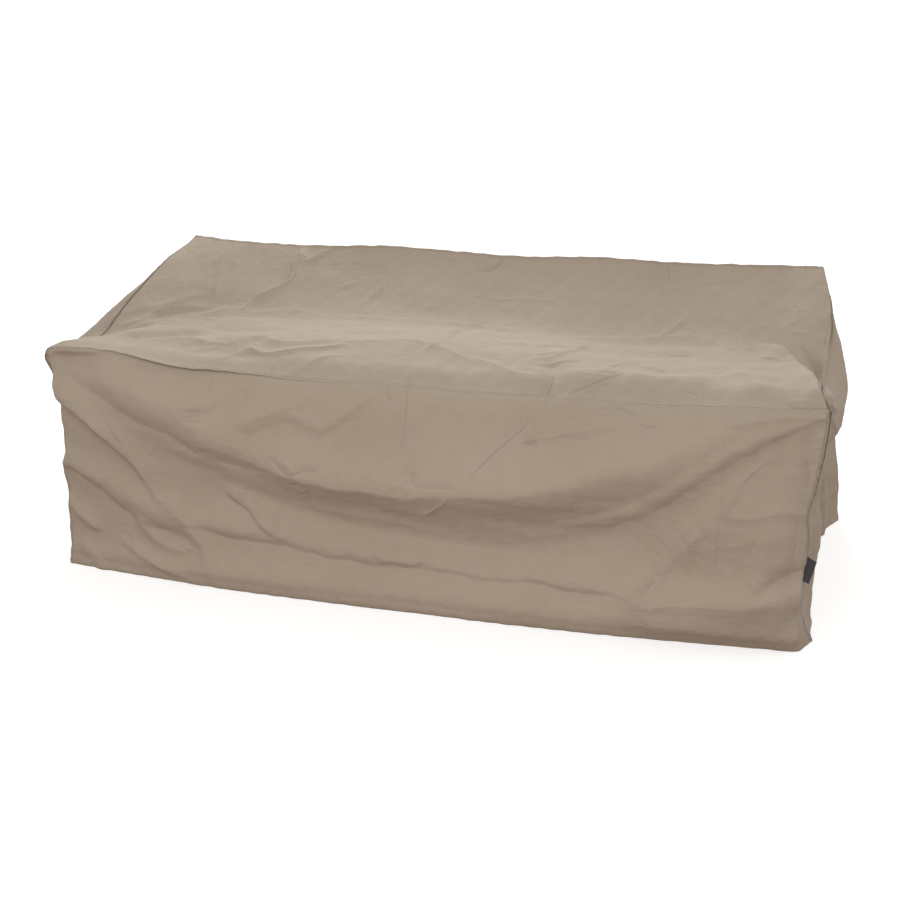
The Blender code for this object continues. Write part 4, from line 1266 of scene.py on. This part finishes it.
# %% End panels
# how far an end bulges, by the share of its height, at these y
END_Y = (-0.46, -0.32, -0.15, 0.00, 0.15, 0.30, 0.46)
RIGHT_ROWS = height_table("""
0 | 0 0 0 0 0 0 0;
0.25 | 0 30 10 0 -4 -4 0;
0.45 | 0 36 24 12 6 0 0;
0.62 | 0 26 26 22 22 18 0;
0.76 | 0 24 44 58 58 38 0;
0.88 | 0 20 46 68 56 24 0;
0.95 | 0 12 28 38 28 12 0;
1 | 0 0 0 0 0 0 0""")
LEFT_ROWS = height_table("""
0 | 0 0 0 0 0 0 0;
0.25 | 0 24 4 16 -6 -2 0;
0.45 | 0 30 20 26 10 6 0;
0.62 | 0 32 46 50 40 22 0;
0.76 | 0 38 74 66 50 28 0;
0.88 | 0 52 96 70 50 26 0;
0.95 | 0 44 88 60 38 14 0;
1 | 0 0 0 0 0 0 0""")
# the paths are y and z
RIGHT_FOLDS = fold_table("""
band beside the front seam | 10 | bell 13 | hook 13 | 0 | 0.2 0.3 |
  -445 230, -440 330, -436 420, -432 540;
front edge fold | 16 | bell 50 | hook 26 | 0 | 0.9 0.1 | -300 0, -310 250, -340 550;
arm pull | 10 | bell 30 | brow 34 | 0 | 0.3 0.1 | -420 610, -200 500, 20 460, 250 500;
rear flap fold | 18 | bell 50 | hook 36 | 0 | 0.9 0.1 | 300 0, 270 250, 180 460;
rear hollow | -14 | bell 50 | bell 50 | 0 | 0.9 0.1 | 120 0, 120 200, 60 380;
slanting pull | 8 | bell 26 | hook 20 | 0 | 0.5 0.1 | 450 740, 300 600, 200 420;
arm ray 1 | 12 | bell 14 | hook 12 | 0.8 | 0.4 0.1 | -320 635, -220 612, -80 590;
arm ray 2 | 12 | bell 14 | hook 12 | 0.8 | 0.4 0.1 | -320 620, -240 585, -120 550;
arm ray 3 | 12 | bell 14 | hook 12 | 0 | 0.4 0.1 | -330 605, -280 560, -200 500""")
LEFT_FOLDS = fold_table("""
front edge fold | 16 | bell 40 | hook 40 | 0 | 0.9 0.1 | -340 0, -330 250, -360 520;
arm pull | 10 | bell 40 | brow 34 | 0 | 0.1 0.1 | -380 580, -180 490, 50 470, 250 520;
middle fold | 14 | bell 45 | hook 36 | 0 | 0.9 0.1 | -20 0, -40 200, -100 360;
rear flap fold | 18 | bell 40 | hook 40 | 0 | 0.9 0.1 | 280 0, 250 250, 160 460;
slanting pull | 8 | bell 26 | hook 20 | 0 | 0.5 0.1 | 450 740, 280 600, 160 440""")


def end_points(side, edges, rows, pleats):
    s, t, points = spanned(*edges, DEEP, TALL)
    _, y, z = np.moveaxis(points, -1, 0)
    out = table(rows, END_Y, t, y) + folds(pleats, y, z) * eased(s, t, COVER_DEEP, FRONT_TALL)
    points[..., 0] += side * out
    return points


left_points = end_points(-1, (LEFT_HEM, LEFT_TOP, FRONT_LEFT, BACK_LEFT), LEFT_ROWS, LEFT_FOLDS)
left = sew("left_canvas", left_points, (-1, 0, 0), ("top",),
           {"top": (0.5,) + LEFT_TOP_SHADE[1:], "left": LEFT_CORNER_SHADE, "right": REAR_SHADE})
right_points = end_points(1, (RIGHT_HEM, RIGHT_TOP, FRONT_RIGHT, BACK_RIGHT), RIGHT_ROWS, RIGHT_FOLDS)
right = sew("right_canvas", right_points, (1, 0, 0), ("top",),
            {"top": RIGHT_TOP_SHADE, "left": RIGHT_CORNER_SHADE, "right": REAR_SHADE},
            crests(RIGHT_FOLDS), plane=(1, 2))

# %% [markdown]
# ## Label
#
# A short dark ribbon is folded in half and caught in the seam of the right front edge, so it shows
# a face, a rounded fold along its free edge and cut sides. Its face is bare: a fine twill, with a
# denser selvedge at the top and bottom.

# %% Ribbon finish
RIBBON_DARK = (0.016, 0.014, 0.017, 1.0)
RIBBON_WORN = (0.040, 0.035, 0.037, 1.0)
RIBBON_PITCH = 0.0007
SELVEDGE = 0.003


def ribbon_paint():
    paint = Paint(bpy.data.materials.new("label weave"))
    ribbon = paint.cloth()
    slant = paint.part(ribbon, "X") + paint.part(ribbon, "Y")
    twill = (slant * (2 * pi / RIBBON_PITCH)).sine() * 0.5 + 0.5
    worn = paint.noise(paint.place(), 90.0, 4.0)
    edge = (paint.number("hem_off") / SELVEDGE).clipped()
    tone = paint.blend(worn.above(0.45, 1.6) * twill, RIBBON_DARK, RIBBON_WORN)
    tone = paint.blend((1.0 - edge) * 0.6, tone, RIBBON_WORN)
    relief = paint.bump(twill + (1.0 - edge) * 1.5, 0.0003, 0.5)
    return paint.finish(Base_Color=tone, Roughness=0.62 + worn * 0.2, Normal=relief)


ribbon_cloth = ribbon_paint()
print("made", ribbon_cloth.name)

# %% Ribbon
LABEL_TALL = 0.058
LABEL_WIDE = 0.027
LABEL_TOP = 0.268          # height of its upper corner at the seam
LABEL_TURN = radians(8)    # its direction out of the seam, from +X towards +Y
LABEL_DROOP = radians(30)  # how far the free edge hangs below the sewn one
LABEL_CLEAR = 0.002
LABEL_LEAN = 0.23          # how far it swings back along the front, for each metre that it hangs
LABEL_AHEAD = 0.014        # how far its lower end lies ahead of the seam
LABEL_START = 0.2          # the share of that at its upper end
LABEL_CURL = 0.003
LABEL_WAVE = (0.0012, 5.0, 0.0)          # a slight wave down the ribbon
FOLD_SHARP = 8             # how suddenly the ribbon turns round its fold
LABEL_ACROSS = 34
LABEL_DOWN = 30
FOLD_ROUND = 0.0008        # half the thickness of the folded edge
RIBBON_THICK = 0.0005


def label_points():
    """A strip that goes out from the seam, turns round its fold and comes back behind."""
    seam = np.array(FRONT_RIGHT)
    strip, down = np.meshgrid(np.linspace(-1, 1, LABEL_ACROSS + 1),
                              np.linspace(0, 1, LABEL_DOWN + 1), indexing="ij")
    z = LABEL_TOP - LABEL_TALL * down
    x = np.interp(LABEL_TOP, seam[:, 2], seam[:, 0]) - LABEL_LEAN * LABEL_TALL * down
    ahead = LABEL_AHEAD * (LABEL_START + (1 - LABEL_START) * down)
    y = np.interp(LABEL_TOP, seam[:, 2], seam[:, 1]) - ahead
    out = 1 - np.abs(strip)
    reach = LABEL_CLEAR + LABEL_WIDE * out
    apart = FOLD_ROUND * np.sign(strip) * np.sqrt(np.clip(1 - (1 - strip ** 2) ** FOLD_SHARP, 0, 1))
    wave = LABEL_CURL * np.sin(pi * out) + ripple(down, [LABEL_WAVE]) * (reach / LABEL_WIDE)
    front_way = wave - apart
    return np.stack([x + reach * cos(LABEL_TURN) * cos(LABEL_DROOP) + front_way * sin(LABEL_TURN),
                     y + reach * sin(LABEL_TURN) * cos(LABEL_DROOP) - front_way * cos(LABEL_TURN),
                     z - reach * sin(LABEL_DROOP)], axis=-1)


ribbon_points = label_points()
ribbon_way = runs(ribbon_points)
label, column, row = lay_grid("label_ribbon", ribbon_points)
cloth_map(label, ribbon_way["left"][column, row], ribbon_way["bottom"][column, row])
carry(label, "hem_off", np.minimum(ribbon_way["bottom"], ribbon_way["top"])[column, row])
label.data.materials.append(ribbon_cloth)
edit_whole(bpy.ops.mesh.normals_make_consistent, inside=False)
thicken(label, RIBBON_THICK, 0.0)
print("label", LABEL_TALL, "by", LABEL_WIDE, "m")

# %% [markdown]
# ## What stands for what
#
# Each panel replaces its solid and is parented to the root body. The table gives the size each was
# cut to. The cut sizes are those of a cover for such a sofa, so the hung cloth measures close to them.

# %% Replacing the solids
# piece, node, flat width and length, cut area
CUTS = [
    (front, "front_panel", (2.14, 0.70), 1.47),
    (top, "top_panel", (2.13, 0.99), 2.10),
    (back, "back_panel", (2.40, 0.84), 1.86),
    (left, "left_end_panel", (1.00, 0.84), 0.72),
    (right, "right_end_panel", (1.00, 0.84), 0.66),
]
for piece, node, flat, area in CUTS:
    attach(piece, "root")
    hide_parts(node)
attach(label, "root")
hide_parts("woven_label")
print("declared", len(CUTS) + 1, "sheets")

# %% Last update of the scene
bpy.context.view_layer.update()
